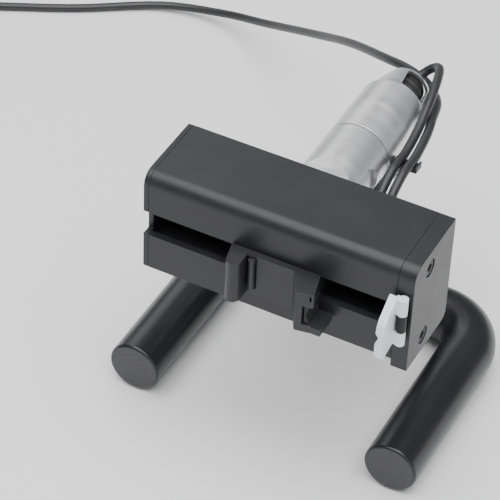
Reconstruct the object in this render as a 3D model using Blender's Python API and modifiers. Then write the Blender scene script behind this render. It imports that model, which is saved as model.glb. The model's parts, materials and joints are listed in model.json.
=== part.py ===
"""Watch testing microphone on a round-bar stand, built piece by piece.

Metres, +Z up.  X runs along the clamping head, Y runs from the front of the
head to the cable end, and the swivel axis of the head lies along Y.  The
origin is on the table, under the middle of the stand.
"""
import math

import bpy
import bmesh
from mathutils import Matrix, Vector

MM = 0.001
GAP = 0.3
FRONT = -57.0
AXIS_Z = 90.9

BAR_R = 11.0
BAR_Z = 11.6
LEG_X = 56.34
LEG_FRONT = -0.36
CROSS_Y = 90.2
BEND_R = 18.7
PAD_PLACES = [(-LEG_X, 7.0), (LEG_X, 7.0), (-28.0, CROSS_Y), (28.0, CROSS_Y)]

HEAD_LEFT = -52.9
HEAD_RIGHT = 59.1
HEAD_DEPTH = 35.3
HEAD_HALF = 22.7
EDGE_ROUND = 5.5
CAP_THICK = 2.2
PLATE_THICK = 6.6
PLATE_DROP = 3.5
BLOCK_LEFT = HEAD_LEFT + CAP_THICK + GAP
BLOCK_RIGHT = HEAD_RIGHT - PLATE_THICK - GAP
PLATE_SCREWS = [(13.9, 14.7), (13.3, -18.3)]
CAP_SCREWS = [(25.0, 14.0), (25.0, -14.0)]

SLOT_TOP = 4.82
SLOT_BOTTOM = -6.26
LIP = 3.0
SLOT_BACK = 14.0
CHAMBER_TOP = 8.1
CHAMBER_BOTTOM = -9.5
ROD_Y = 8.5
ROD_Z = 0.5
ROD_R = 1.5

JAW_TOP = 5.6
JAW_BOTTOM = -13.2
JAW_FACE = -3.0
CATCH_X = -4.7
RIB_R = 1.35
RIB_TOP = 4.3

TUBE_R = 13.7
TUBE_SIDES = 48
SLEEVE_START = HEAD_DEPTH + GAP
SEAM_Y = 76.7
HOUSING_END = 109.0
CAP_END = 125.0
BOOT_END = 127.0
WINDOW_ANGLE = 38.0
SPINDLE_R = 5.5
CHAMBER_R = 9.0
WIRE_R = 3.2
TOP_FLAT = (10.5, 53.6, 12.8)
SIDE_FLAT = (11.8, 66.5, 8.0)
SLEEVE_SCREW_X = 6.0

PIN_X = 56.1
PIN_Y = -2.4
KNUCKLE_R = 1.9

CORD_R = 1.9
TABLE_REST = 2.0
CLIP_Y = (79.0, 84.0)
CLIP_Z = 1.3
CLIP_SCREW_Y = 81.5
CLIP_SCREW_Z = -5.4
STRANDS_X = (17.2, 21.7)
COIL_X = -260.0
COIL_Y = 146.0
COIL_INNER = 16.2
COIL_OUTER = 27.9
COIL_LOW = 0.9
COIL_HIGH = 8.6
PLUG_X = -291.0

CORD_ROUTE = [
    (0.0, 127.4, 90.9), (0.1, 129.6, 90.95), (1.7, 133.0, 92.1), (5.2, 135.3, 95.3),
    (9.2, 133.3, 98.3), (12.4, 124.4, 100.0), (14.7, 113.0, 98.8), (16.4, 98.0, 94.4),
    (17.2, 85.0, 92.2),
    (17.2, 78.0, 92.2), (17.2, 70.5, 91.3), (17.1, 59.5, 84.5), (16.6, 54.4, 71.0),
    (13.2, 53.3, 59.0), (10.9, 53.1, 52.5), (12.8, 53.0, 45.0), (19.8, 53.0, 41.5),
    (26.6, 53.2, 45.8), (27.4, 53.5, 54.0), (23.6, 54.0, 64.0), (21.9, 55.6, 75.0),
    (21.7, 61.0, 85.6), (21.7, 70.5, 91.3), (21.7, 78.0, 92.2), (21.7, 85.0, 92.2),
    (20.3, 98.0, 93.1), (18.2, 107.5, 93.5), (14.9, 120.0, 91.4), (7.6, 132.2, 87.1),
    (1.5, 137.2, 86.9), (-8.5, 142.2, 85.9), (-20.6, 149.3, 81.4), (-46.5, 172.2, 64.5),
    (-73.5, 195.3, 44.2), (-111.0, 221.3, 19.6), (-139.9, 233.0, 7.4),
    (-171.5, 229.4, 2.9), (-205.0, 208.8, TABLE_REST),
    (-236.5, 192.0, TABLE_REST), (-275.0, 172.3, TABLE_REST),
]
TAIL_ROUTE = [
    (-290.2, 150.0, 6.7), (-290.9, 144.0, 6.8), (-291.0, 138.0, 7.3), (-291.0, 132.5, 8.0),
    (-291.0, 128.5, 8.3),
]


def clear_scene():
    for thing in list(bpy.data.objects):
        bpy.data.objects.remove(thing)


def make_collection(name):
    group = bpy.data.collections.new(name)
    bpy.context.scene.collection.children.link(group)
    return group


clear_scene()
PARTS = make_collection("timegrapher_microphone")
CUTTERS = make_collection("cutters")


# ---------------------------------------------------------------- materials

def finish(name, colour, roughness, metallic=0.0):
    mat = bpy.data.materials.new(name)
    mat.use_nodes = True
    shader = mat.node_tree.nodes["Principled BSDF"]
    shader.inputs["Base Color"].default_value = (*colour, 1.0)
    shader.inputs["Roughness"].default_value = roughness
    shader.inputs["Metallic"].default_value = metallic
    return mat


ANODISED = finish("black_anodised", (0.045, 0.045, 0.048), 0.45)
COATED = finish("black_coated_bar", (0.02, 0.02, 0.022), 0.4)
SATIN = finish("satin_aluminium", (0.72, 0.72, 0.74), 0.32, 1.0)
STEEL = finish("bright_steel", (0.55, 0.55, 0.57), 0.25, 1.0)
BLACK_STEEL = finish("black_steel", (0.03, 0.03, 0.03), 0.4, 0.6)
MOULDED = finish("black_moulding", (0.03, 0.03, 0.034), 0.42)
NYLON = finish("white_nylon", (0.82, 0.83, 0.85), 0.4)
RUBBER = finish("black_rubber", (0.012, 0.012, 0.012), 0.7)
BRONZE = finish("bearing_bronze", (0.55, 0.33, 0.12), 0.35, 1.0)
BOARD = finish("circuit_board", (0.03, 0.14, 0.06), 0.45)
CERAMIC = finish("sensor_ceramic", (0.75, 0.68, 0.5), 0.5)
JACKET = finish("cable_jacket", (0.014, 0.014, 0.015), 0.5)


# ------------------------------------------------------------ shape helpers

def place(x, y, z):
    """Head frame in millimetres to world metres: y from the head's front, z from the axis."""
    return Vector((x * MM, (FRONT + y) * MM, (AXIS_Z + z) * MM))


def on_table(x, y, z):
    """Millimetres to world metres: y from the head's front, z above the table."""
    return Vector((x * MM, (FRONT + y) * MM, z * MM))


def add_object(name, mesh, material):
    obj = bpy.data.objects.new(name, mesh)
    PARTS.objects.link(obj)
    if material:
        mesh.materials.append(material)
    return obj


def smooth(obj, angle=32.0):
    obj.data.shade_smooth()
    obj.data.set_sharp_from_angle(angle=math.radians(angle))
    return obj


def as_cutter(obj):
    PARTS.objects.unlink(obj)
    CUTTERS.objects.link(obj)
    obj.hide_render = True
    obj.display_type = "WIRE"
    return obj


def boolean(target, tool, operation="DIFFERENCE"):
    step = target.modifiers.new(operation.lower(), "BOOLEAN")
    step.operation = operation
    step.solver = "EXACT"
    step.object = as_cutter(tool)
    return target


def box(name, x, y, z, material=None):
    """A box between pairs of limits, in the head frame."""
    low = place(x[0], y[0], z[0])
    high = place(x[1], y[1], z[1])
    mesh = bpy.data.meshes.new(name)
    form = bmesh.new()
    bmesh.ops.create_cube(form, size=1.0)
    bmesh.ops.scale(form, vec=high - low, verts=form.verts)
    form.to_mesh(mesh)
    form.free()
    obj = add_object(name, mesh, material)
    obj.location = (low + high) / 2
    return obj


def rod(name, start, end, radius, material=None, sides=32):
    """A round rod between two world points."""
    mesh = bpy.data.meshes.new(name)
    form = bmesh.new()
    length = (end - start).length
    bmesh.ops.create_cone(form, cap_ends=True, segments=sides, radius1=radius * MM,
                          radius2=radius * MM, depth=length)
    form.to_mesh(mesh)
    form.free()
    obj = add_object(name, mesh, material)
    obj.location = (start + end) / 2
    obj.rotation_euler = (end - start).to_track_quat("Z", "Y").to_euler()
    return smooth(obj)


def turned(name, profile, origin, direction, material, sides=48, closed=True):
    """A turned piece; profile is (radius, height) pairs, down the outer side first."""
    mesh = bpy.data.meshes.new(name)
    form = bmesh.new()
    points = [form.verts.new((r * MM, 0.0, h * MM)) for r, h in profile]
    pairs = list(zip(points, points[1:]))
    if closed:
        pairs.append((points[-1], points[0]))
    for first, second in pairs:
        form.edges.new((first, second))
    form.to_mesh(mesh)
    form.free()
    obj = add_object(name, mesh, material)
    spin = obj.modifiers.new("turn", "SCREW")
    spin.steps = sides
    spin.render_steps = sides
    spin.use_merge_vertices = True
    spin.merge_threshold = 0.00002
    obj.location = origin
    obj.rotation_euler = Vector(direction).to_track_quat("Z", "Y").to_euler()
    return smooth(obj)


def turned_on_axis(name, profile, material, sides=48, closed=True):
    """A piece turned about the swivel axis; heights are distances from the head's front."""
    return turned(name, profile, place(0, 0, 0), (0, 1, 0), material, sides, closed)


def to_mesh(curve_object, material):
    """The curve's evaluated shape as a welded mesh object of the same name."""
    depsgraph = bpy.context.evaluated_depsgraph_get()
    mesh = bpy.data.meshes.new_from_object(curve_object.evaluated_get(depsgraph))
    form = bmesh.new()
    form.from_mesh(mesh)
    bmesh.ops.remove_doubles(form, verts=form.verts, dist=0.000005)
    bmesh.ops.recalc_face_normals(form, faces=form.faces)
    form.to_mesh(mesh)
    form.free()
    name = curve_object.name
    matrix = curve_object.matrix_world.copy()
    bpy.data.objects.remove(curve_object)
    mesh.materials.clear()
    obj = add_object(name, mesh, material)
    obj.matrix_world = matrix
    return obj


def extruded(name, outline, low, high, frame, material=None):
    """A flat outline in millimetres, extruded from low to high along frame's third axis."""
    data = bpy.data.curves.new(name, "CURVE")
    data.dimensions = "2D"
    data.fill_mode = "BOTH"
    data.extrude = (high - low) / 2 * MM
    line = data.splines.new("POLY")
    line.points.add(len(outline) - 1)
    for point, (u, v) in zip(line.points, outline):
        point.co = (u * MM, v * MM, 0.0, 1.0)
    line.use_cyclic_u = True
    obj = bpy.data.objects.new(name, data)
    PARTS.objects.link(obj)
    lift = Matrix.Translation((0.0, 0.0, (low + high) / 2 * MM))
    obj.matrix_world = Matrix.Translation(place(0, 0, 0)) @ frame @ lift
    bpy.context.view_layer.update()
    return to_mesh(obj, material)


ALONG_X = Matrix(((0, 0, 1, 0), (1, 0, 0, 0), (0, 1, 0, 0), (0, 0, 0, 1)))
ALONG_Z = Matrix.Identity(4)


def arc(centre, radius, start, end, steps):
    """Points on an arc, angles in degrees."""
    angles = [math.radians(start + (end - start) * i / steps) for i in range(steps + 1)]
    return [(centre[0] + radius * math.cos(a), centre[1] + radius * math.sin(a)) for a in angles]


def smooth_route(route, samples):
    """Points on a smooth curve through the route's own points."""
    ends = [route[0] * 2 - route[1]] + route + [route[-1] * 2 - route[-2]]
    points = []
    for before, start, end, after in zip(ends, ends[1:], ends[2:], ends[3:]):
        for i in range(samples):
            t = i / samples
            bend = (before * 2 - start * 5 + end * 4 - after) * t * t
            twist = (start * 3 - before - end * 3 + after) * t ** 3
            points.append((start * 2 + (end - before) * t + bend + twist) / 2)
    return points + [route[-1]]


def tube(name, points, radius, material, rounding=2, tapers=None):
    """A round tube along world points, with filled ends."""
    data = bpy.data.curves.new(name, "CURVE")
    data.dimensions = "3D"
    data.bevel_depth = radius * MM
    data.bevel_resolution = rounding
    data.use_fill_caps = True
    line = data.splines.new("POLY")
    line.points.add(len(points) - 1)
    for i, (point, at) in enumerate(zip(line.points, points)):
        point.co = (*at, 1.0)
        point.radius = tapers[i] if tapers else 1.0
    obj = bpy.data.objects.new(name, data)
    PARTS.objects.link(obj)
    data.materials.append(material)
    return obj


def socket_screw(name, head, direction, head_r, head_h, shank_r, length, material):
    """A socket screw; head is the middle of its outer face, direction points into the work."""
    way = Vector(direction).normalized()
    inner = length + head_h
    profile = [
        (0.0, inner), (shank_r, inner), (shank_r, head_h), (head_r, head_h),
        (head_r, head_h * 0.12), (head_r * 0.9, 0.0), (head_r * 0.5, 0.0),
        (head_r * 0.5, head_h * 0.55), (0.0, head_h * 0.55),
    ]
    return turned(name, profile, head, way, material, sides=16, closed=False)


# --------------------------------------------------------------------- base

def bar_route():
    """Centre line of the U-shaped bar, with each front end's short chamfer first."""
    turn = CROSS_Y - BEND_R
    inside = LEG_X - BEND_R
    left = [(-LEG_X, LEG_FRONT), (-LEG_X, LEG_FRONT + 1.2), (-LEG_X, turn - 4.0)]
    left += arc((-inside, turn), BEND_R, 180, 90, 7)
    right = [(-x, y) for x, y in reversed(left)]
    return [on_table(x, y, BAR_Z) for x, y in left + right]


def build_base_bar():
    points = bar_route()
    tapers = [1.0] * len(points)
    tapers[0] = tapers[-1] = (BAR_R - 1.2) / BAR_R
    curve = tube("base_bar", points, BAR_R, COATED, rounding=9, tapers=tapers)
    bpy.context.view_layer.update()
    bar = smooth(to_mesh(curve, COATED))
    seat_z = BAR_Z + 9.0
    boolean(bar, rod("bar_seat_cut", on_table(0, CROSS_Y, seat_z), on_table(0, CROSS_Y, 30), 8.6))
    boolean(bar, rod("bar_bolt_hole", on_table(0, CROSS_Y, 5), on_table(0, CROSS_Y, 32), 3.3))
    boolean(bar, rod("bar_head_hole", on_table(0, CROSS_Y, -2), on_table(0, CROSS_Y, 7.5), 5.4))
    for i, (x, y) in enumerate(PAD_PLACES):
        low = on_table(x, y, -1.0)
        boolean(bar, rod(f"pad_hole_{i + 1}", low, on_table(x, y, 2.5), 5.3))
    return bar


def build_foot_pads():
    for i, (x, y) in enumerate(PAD_PLACES):
        profile = [(0.0, 2.2), (5.0, 2.2), (5.0, 0.5), (4.5, 0.0), (0.0, 0.0)]
        turned(f"foot_pad_{i + 1}", profile, on_table(x, y, 0), (0, 0, 1), RUBBER, 24, False)


def build_post():
    seat = BAR_Z + 9.0 + GAP
    post = rod("post", on_table(0, CROSS_Y, seat), on_table(0, CROSS_Y, AXIS_Z - 6.0), 8.0, COATED, 40)
    saddle_front = place(0, CROSS_Y - 20, 0)
    saddle_back = place(0, CROSS_Y + 20, 0)
    boolean(post, rod("post_saddle_cut", saddle_front, saddle_back, TUBE_R + GAP, sides=TUBE_SIDES))
    boolean(post, rod("post_bolt_hole", on_table(0, CROSS_Y, 15), on_table(0, CROSS_Y, 40), 3.3, sides=24))
    spigot = rod("post_spigot", place(0, CROSS_Y, -24), place(0, CROSS_Y, -9.3), 3.0, sides=24)
    boolean(post, spigot, "UNION")
    head = on_table(0, CROSS_Y, 1.3)
    socket_screw("post_bolt", head, (0, 0, 1), 5.0, 6.0, 3.0, 30.0, BLACK_STEEL)


# --------------------------------------------------------- swivel and tubes

def build_rear_housing():
    profile = [
        (TUBE_R - 0.4, HOUSING_END), (TUBE_R, HOUSING_END - 0.4), (TUBE_R, SEAM_Y + GAP + 0.4),
        (TUBE_R - 0.4, SEAM_Y + GAP), (8.0, SEAM_Y + GAP), (8.0, 100.5), (11.0, 100.5),
        (11.0, HOUSING_END),
    ]
    housing = turned_on_axis("rear_housing", profile, SATIN, TUBE_SIDES)
    stud = rod("housing_stud_hole", place(0, CROSS_Y, -20), place(0, CROSS_Y, -9.0), 3.3, sides=24)
    boolean(housing, stud)
    hole_start = place(8.6, CLIP_SCREW_Y, CLIP_SCREW_Z)
    hole_end = place(20, CLIP_SCREW_Y, CLIP_SCREW_Z)
    clip_hole = rod("housing_clip_hole", hole_start, hole_end, 1.4, sides=16)
    boolean(housing, clip_hole)


def build_bushes():
    for name, low, high in (("front_bush", 77.3, 85.0), ("rear_bush", 90.0, 97.0)):
        inner = SPINDLE_R + GAP
        turned_on_axis(name, [(7.7, high), (7.7, low), (inner, low), (inner, high)], BRONZE, 32)


def build_spindle():
    profile = [
        (SPINDLE_R, 101.0), (SPINDLE_R, 99.9), (4.9, 99.9), (4.9, 98.6), (SPINDLE_R, 98.6),
        (SPINDLE_R, 71.7), (8.4, 71.7), (8.4, 69.4), (3.5, 69.4), (3.5, 101.0),
    ]
    turned_on_axis("swivel_spindle", profile, STEEL, 32)
    washer = [(7.6, 97.9), (7.6, 97.3), (5.9, 97.3), (5.9, 97.9)]
    turned_on_axis("friction_washer", washer, STEEL, 32)
    ring = turned_on_axis("retaining_ring", [(7.2, 99.6), (7.2, 98.9), (5.2, 98.9), (5.2, 99.6)], STEEL, 32)
    boolean(ring, box("ring_mouth_cut", (-1.6, 1.6), (98, 101), (3.0, 9.0)))


def build_front_sleeve():
    profile = [
        (TUBE_R - 0.4, SEAM_Y), (TUBE_R, SEAM_Y - 0.4), (TUBE_R, SLEEVE_START + 0.6),
        (TUBE_R - 0.6, SLEEVE_START), (WIRE_R, SLEEVE_START), (WIRE_R, 40.0), (CHAMBER_R, 40.0),
        (CHAMBER_R, 72.0), (5.8, 72.0), (5.8, SEAM_Y),
    ]
    sleeve = turned_on_axis("front_sleeve", profile, SATIN, TUBE_SIDES)
    cut_top_flat(sleeve)
    for side in (-1, 1):
        cut_side_flat(sleeve, side)
        x = side * SLEEVE_SCREW_X
        hole = rod("sleeve_hole", place(x, 30, 0), place(x, 42, 0), 1.8, sides=16)
        boolean(sleeve, hole)


def cut_top_flat(sleeve):
    """A milled flat on top, ended by the round of the milling cutter."""
    level, end, cutter_r = TOP_FLAT
    middle = end - cutter_r
    boolean(sleeve, box("top_flat_cut", (-cutter_r, cutter_r), (30, middle), (level, 20)))
    round_end = rod("top_flat_end", place(0, middle, level), place(0, middle, 20), cutter_r, sides=64)
    boolean(sleeve, round_end)


def cut_side_flat(sleeve, side):
    """A longer milled flat on one side of the sleeve."""
    level, end, cutter_r = SIDE_FLAT
    middle = end - cutter_r
    across = sorted((side * level, side * 20))
    boolean(sleeve, box("side_flat_cut", across, (30, middle), (-cutter_r, cutter_r)))
    start = place(side * level, middle, 0)
    boolean(sleeve, rod("side_flat_end", start, place(side * 20, middle, 0), cutter_r, sides=48))


def build_sleeve_screws():
    for i, side in enumerate((-1, 1)):
        head = place(side * SLEEVE_SCREW_X, 42.8, 0)
        socket_screw(f"sleeve_screw_{i + 1}", head, (0, -1, 0), 2.6, 2.5, 1.5, 9.0, STEEL)


def build_preamplifier():
    box("preamp_board", (-6.8, 6.8), (45, 67), (-5.2, -3.6), BOARD)
    box("amplifier_chip", (-3.0, 3.0), (52, 58), (-3.3, -1.8), MOULDED)


def build_rear_cap():
    profile = [
        (9.2, CAP_END), (9.4, CAP_END - 0.4), (13.1, HOUSING_END + GAP + 0.4),
        (12.8, HOUSING_END + GAP), (10.7, HOUSING_END + GAP), (10.7, 104.0), (9.5, 104.0),
        (9.5, 110.0), (8.1, CAP_END),
    ]
    cap = turned_on_axis("rear_cap", profile, SATIN, TUBE_SIDES)
    window = box("cap_window_cut", (-5.8, 5.8), (110.4, 123.2), (5.0, 20.0))
    turn = Matrix.Rotation(math.radians(WINDOW_ANGLE), 4, "Y")
    centre = place(0, 0, 0)
    window.matrix_world = Matrix.Translation(centre) @ turn @ Matrix.Translation(-centre) @ \
        Matrix.Translation(window.location)
    boolean(cap, window)


def build_boot():
    """Ribbed strain relief that carries the cable out of the rear cap."""
    profile = [(0.0, BOOT_END), (2.6, BOOT_END), (5.0, BOOT_END - 0.5)]
    ribs = 5
    first, last = 108.5, BOOT_END - 1.2
    step = (last - first) / ribs
    for i in reversed(range(ribs)):
        low = first + step * i
        crest = 8.5 - 1.6 * i / (ribs - 1)
        profile += [(crest, low + step * 0.95), (crest, low + step * 0.35), (crest - 0.8, low + step * 0.1)]
    profile += [(9.1, 108.0), (9.1, 104.0), (0.0, 104.0)]
    turned_on_axis("cable_boot", profile, RUBBER, 20, closed=False)
    nut = [(10.6, 103.7), (10.6, 101.3), (4.0, 101.3), (4.0, 103.7)]
    turned_on_axis("clamp_ring", nut, BLACK_STEEL, 32)


def build_cable_clip():
    """A cradle on the right of the rear housing that both runs of the cable lie in."""
    low, high = CLIP_Y
    shelf_top = CLIP_Z - CORD_R - GAP
    shelf_bottom = shelf_top - 1.5
    outside = STRANDS_X[1] + CORD_R + GAP
    clip = box("cable_clip", (12.0, outside + 0.8), CLIP_Y, (shelf_bottom, shelf_top), MOULDED)
    lip = box("clip_lip", (outside, outside + 0.8), CLIP_Y, (shelf_bottom, shelf_top + 1.3))
    boolean(clip, lip, "UNION")
    boolean(clip, box("clip_tab", (9.0, 15.6), CLIP_Y, (-8.6, shelf_top)), "UNION")
    front, back = low - 3, high + 3
    seat = rod("clip_seat_cut", place(0, front, 0), place(0, back, 0), TUBE_R + GAP, sides=TUBE_SIDES)
    boolean(clip, seat)
    start = place(5, CLIP_SCREW_Y, CLIP_SCREW_Z)
    boolean(clip, rod("clip_screw_hole", start, place(20, CLIP_SCREW_Y, CLIP_SCREW_Z), 1.4, sides=16))
    head = place(17.6, CLIP_SCREW_Y, CLIP_SCREW_Z)
    socket_screw("clip_screw", head, (-1, 0, 0), 2.0, 1.6, 1.05, 6.2, STEEL)


# --------------------------------------------------------------- head block

def head_outline(bottom, corner_r, notch):
    """Side outline of the head: rounded upper front edge and a notch in the front."""
    top = HEAD_HALF
    back = HEAD_DEPTH
    line = arc((0.5, -bottom + 0.5), 0.5, 180, 270, 2)
    line += arc((back - corner_r, -bottom + corner_r), corner_r, 270, 360, 4)
    line += arc((back - 0.5, top - 0.5), 0.5, 0, 90, 2)
    line += arc((EDGE_ROUND, top - EDGE_ROUND), EDGE_ROUND, 90, 180, 8)
    return line + notch


def build_head_block():
    slot = [
        (0.0, SLOT_TOP), (LIP, SLOT_TOP), (LIP, CHAMBER_TOP), (SLOT_BACK, CHAMBER_TOP),
        (SLOT_BACK, CHAMBER_BOTTOM), (LIP, CHAMBER_BOTTOM), (LIP, SLOT_BOTTOM), (0.0, SLOT_BOTTOM),
    ]
    outline = head_outline(HEAD_HALF, 0.5, slot)
    block = extruded("head_block", outline, BLOCK_LEFT, BLOCK_RIGHT, ALONG_X, ANODISED)
    smooth(block)
    boolean(block, rod("wire_bore", place(0, 10, 0), place(0, 40, 0), WIRE_R))
    boolean(block, box("wire_channel", (0, 60), (22, 28), (-3.5, 3.5)))
    for side in (-1, 1):
        x = side * SLEEVE_SCREW_X
        hole = rod("sleeve_tapped", place(x, 29, 0), place(x, 40, 0), 1.8, sides=16)
        boolean(block, hole)
    for y, z in PLATE_SCREWS:
        boolean(block, rod("plate_tapped", place(39, y, z), place(60, y, z), 2.3, sides=16))
    for y, z in CAP_SCREWS:
        boolean(block, rod("cap_tapped", place(-60, y, z), place(-40, y, z), 1.5, sides=16))


def build_end_plate():
    outline = head_outline(HEAD_HALF + PLATE_DROP, 3.0, [])
    plate = extruded("end_plate", outline, HEAD_RIGHT - PLATE_THICK, HEAD_RIGHT, ALONG_X, ANODISED)
    smooth(plate)
    boolean(plate, box("stem_slot", (50, 57.6), (-2, 13), (-3.8, 2.8)))
    boolean(plate, box("sensor_pocket", (50, 57.6), (12, 27), (-6, 5)))
    boolean(plate, rod("rod_socket_right", place(50, ROD_Y, ROD_Z), place(53.9, ROD_Y, ROD_Z), 1.8, sides=16))
    for i, (y, z) in enumerate(PLATE_SCREWS):
        boolean(plate, rod("plate_hole", place(50, y, z), place(62, y, z), 2.3, sides=16))
        boolean(plate, rod("plate_sink", place(54.8, y, z), place(62, y, z), 3.7, sides=32))
        head = place(HEAD_RIGHT - 0.5, y, z)
        socket_screw(f"end_plate_screw_{i + 1}", head, (-1, 0, 0), 3.4, 3.4, 2.0, 14.0, BLACK_STEEL)


def build_left_cap():
    notch = [(0.0, SLOT_TOP), (4.0, SLOT_TOP), (4.0, SLOT_BOTTOM), (0.0, SLOT_BOTTOM)]
    outline = head_outline(HEAD_HALF, 0.5, notch)
    cap = extruded("left_end_cap", outline, HEAD_LEFT, HEAD_LEFT + CAP_THICK, ALONG_X, ANODISED)
    smooth(cap)
    socket_floor = place(HEAD_LEFT + 0.9, ROD_Y, ROD_Z)
    boolean(cap, rod("rod_socket_left", socket_floor, place(-48, ROD_Y, ROD_Z), 1.8, sides=16))
    for i, (y, z) in enumerate(CAP_SCREWS):
        boolean(cap, rod("cap_hole", place(-60, y, z), place(-48, y, z), 1.5, sides=16))
        boolean(cap, rod("cap_sink", place(-60, y, z), place(HEAD_LEFT + 1.3, y, z), 2.8, sides=24))
        head = place(HEAD_LEFT - 0.2, y, z)
        socket_screw(f"left_cap_screw_{i + 1}", head, (1, 0, 0), 2.4, 1.2, 1.15, 9.0, BLACK_STEEL)


def build_guide_rod():
    start = place(HEAD_LEFT + 1.2, ROD_Y, ROD_Z)
    rod("guide_rod", start, place(53.6, ROD_Y, ROD_Z), ROD_R, STEEL, 20)


# ------------------------------------------------------------- sliding jaw

def jaw_outline():
    """Plan of the moulded jaw: finger ridge, flat web and the leaning watch stop."""
    nose = (-9.9, -8.2)
    nose_r = 3.0
    line = [(-14.7, -GAP)]
    line += arc(nose, nose_r, 207, 360, 9)
    line += [(nose[0] + nose_r, JAW_FACE), (12.4, JAW_FACE)]
    line += [(17.4, -11.9), (18.0, -12.7), (24.1, -11.7), (24.7, -11.0), (21.9, -GAP)]
    return line


def build_jaw_body():
    jaw = extruded("jaw_body", jaw_outline(), JAW_BOTTOM, JAW_TOP, ALONG_Z, MOULDED)
    smooth(jaw)
    lip = box("jaw_lip", (19.6, 28.1), (-11.6, -1.2), (JAW_BOTTOM + 0.01, -10.2))
    boolean(jaw, lip, "UNION")
    neck = box("jaw_neck", (1.0, 20.0), (-1.5, 3.1), (SLOT_BOTTOM + 0.4, SLOT_TOP - 0.4))
    boolean(jaw, neck, "UNION")
    tongue = box("jaw_tongue", (4.0, 17.0), (2.0, 6.3), (-3.0, 3.5))
    boolean(jaw, tongue, "UNION")
    boolean(jaw, box("catch_window", (-6.9, -2.9), (-14, 2), (-10.4, RIB_TOP + GAP)))
    boolean(jaw, box("pad_groove", (20.6, 32), (-14, -1.6), (-9.7, -0.7)))
    boolean(jaw, box("lip_notch", (23.2, 24.0), (-14, -10.2), (2.1, 4.6)))
    boolean(jaw, rod("jaw_pin_hole", place(10.5, 4.7, -12), place(10.5, 4.7, 5), 1.3, sides=16))


def build_jaw_pad():
    outline = [(-9.4, 20.9), (-9.4, 23.2), (-5.9, 21.9), (-4.5, 21.9), (-1.0, 23.2), (-1.0, 20.9)]
    turned_outline = [(x, z) for z, x in outline]
    frame = Matrix(((1, 0, 0, 0), (0, 0, -1, 0), (0, 1, 0, 0), (0, 0, 0, 1)))
    extruded("jaw_pad", turned_outline, 2.0, 11.2, frame, RUBBER)


def build_carriage():
    carriage = box("jaw_carriage", (0.2, 21.0), (LIP + 0.4, SLOT_BACK - 0.4),
                   (CHAMBER_BOTTOM + 0.4, CHAMBER_TOP - 0.4), MOULDED)
    boolean(carriage, rod("carriage_bore", place(-5, ROD_Y, ROD_Z), place(25, ROD_Y, ROD_Z), 1.8, sides=20))
    boolean(carriage, box("tongue_pocket", (3.7, 17.3), (0, 6.6), (-3.3, 3.8)))
    boolean(carriage, rod("carriage_pin_hole", place(10.5, 4.7, -12), place(10.5, 4.7, 12), 1.3, sides=16))
    boolean(carriage, rod("spring_well", place(-3, 12.0, ROD_Z), place(4.6, 12.0, ROD_Z), 1.5, sides=16))
    rod("carriage_pin", place(10.5, 4.7, -8.9), place(10.5, 4.7, 7.5), 1.0, STEEL, 16)


def build_release_catch():
    """Half-round finger rib on a tail whose eye grips the guide rod."""
    left, right = CATCH_X - RIB_R, CATCH_X + RIB_R
    rib = [(left, -2.2)] + arc((CATCH_X, -3.8), RIB_R, 180, 360, 8) + [(right, -2.2)]
    catch = extruded("release_catch", rib, -10.0, RIB_TOP, ALONG_Z, MOULDED)
    smooth(catch)
    boolean(catch, box("catch_foot", (left, right), (-4.2, -0.7), (-10.0, -5.0)), "UNION")
    boolean(catch, box("catch_tail", (CATCH_X - 1.2, CATCH_X + 1.2), (-2.6, 13.3), (-3.0, 3.8)), "UNION")
    boolean(catch, rod("catch_eye", place(-10, ROD_Y, ROD_Z), place(5, ROD_Y, ROD_Z), 1.9, sides=20))


def build_catch_spring():
    turns, per_turn, wire, radius = 3, 9, 0.25, 1.05
    start, end = -2.9, 4.0
    points = []
    for i in range(turns * per_turn + 1):
        a = 2 * math.pi * i / per_turn
        x = start + (end - start) * i / (turns * per_turn)
        points.append(place(x, 12.0 + radius * math.cos(a), ROD_Z + radius * math.sin(a)))
    tube("catch_spring", points, wire, STEEL)


# ---------------------------------------------------------- contact and pin

def build_sensor():
    stem = box("sensor_stem", (54.9, 57.3), (PIN_Y, 12.0), (-3.4, 2.4), BLACK_STEEL)
    knuckle = rod("stem_knuckle", place(PIN_X, PIN_Y, -4.4), place(PIN_X, PIN_Y, 3.3), KNUCKLE_R, sides=24)
    boolean(stem, knuckle, "UNION")
    boolean(stem, rod("stem_bore", place(PIN_X, PIN_Y, -8), place(PIN_X, PIN_Y, 8), 1.1, sides=16))
    box("piezo_element", (55.2, 56.4), (12.3, 23.0), (-4.5, 3.5), CERAMIC)
    rod("contact_pin", place(PIN_X, PIN_Y, -11.0), place(PIN_X, PIN_Y, 9.6), 0.8, STEEL, 16)


def build_contact():
    """White nylon contact that rocks on the upright pin and meets the watch case."""
    outline = [(-1.8, 10.6), (-2.4, 11.3), (-3.4, 11.0), (-10.9, 5.6), (-12.4, 3.2)]
    outline += [(-13.0, -0.6), (-13.0, -8.0), (-12.5, -11.8), (-11.6, -12.6), (-9.6, -12.3)]
    outline += [(-3.2, -10.9), (-1.8, -9.8)]
    contact = extruded("watch_contact", outline, 50.6, 53.8, ALONG_X, NYLON)
    smooth(contact)
    for low, high in ((3.6, 11.2), (-11.0, -4.7)):
        boolean(contact, box("contact_arm", (53.2, PIN_X), (-4.0, -1.1), (low + 0.3, high - 0.3)), "UNION")
        start = place(PIN_X, PIN_Y, low)
        knuckle = rod("contact_knuckle", start, place(PIN_X, PIN_Y, high), KNUCKLE_R, sides=24)
        boolean(contact, knuckle, "UNION")
    bore_start = place(PIN_X, PIN_Y, -13)
    boolean(contact, rod("contact_bore", bore_start, place(PIN_X, PIN_Y, 9.9), 1.1, sides=16))
    groove = rod("contact_groove", place(48.8, -16, -2.4), place(48.8, 3, -2.4), 3.0, sides=24)
    boolean(contact, groove)


# -------------------------------------------------------------------- cable

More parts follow.
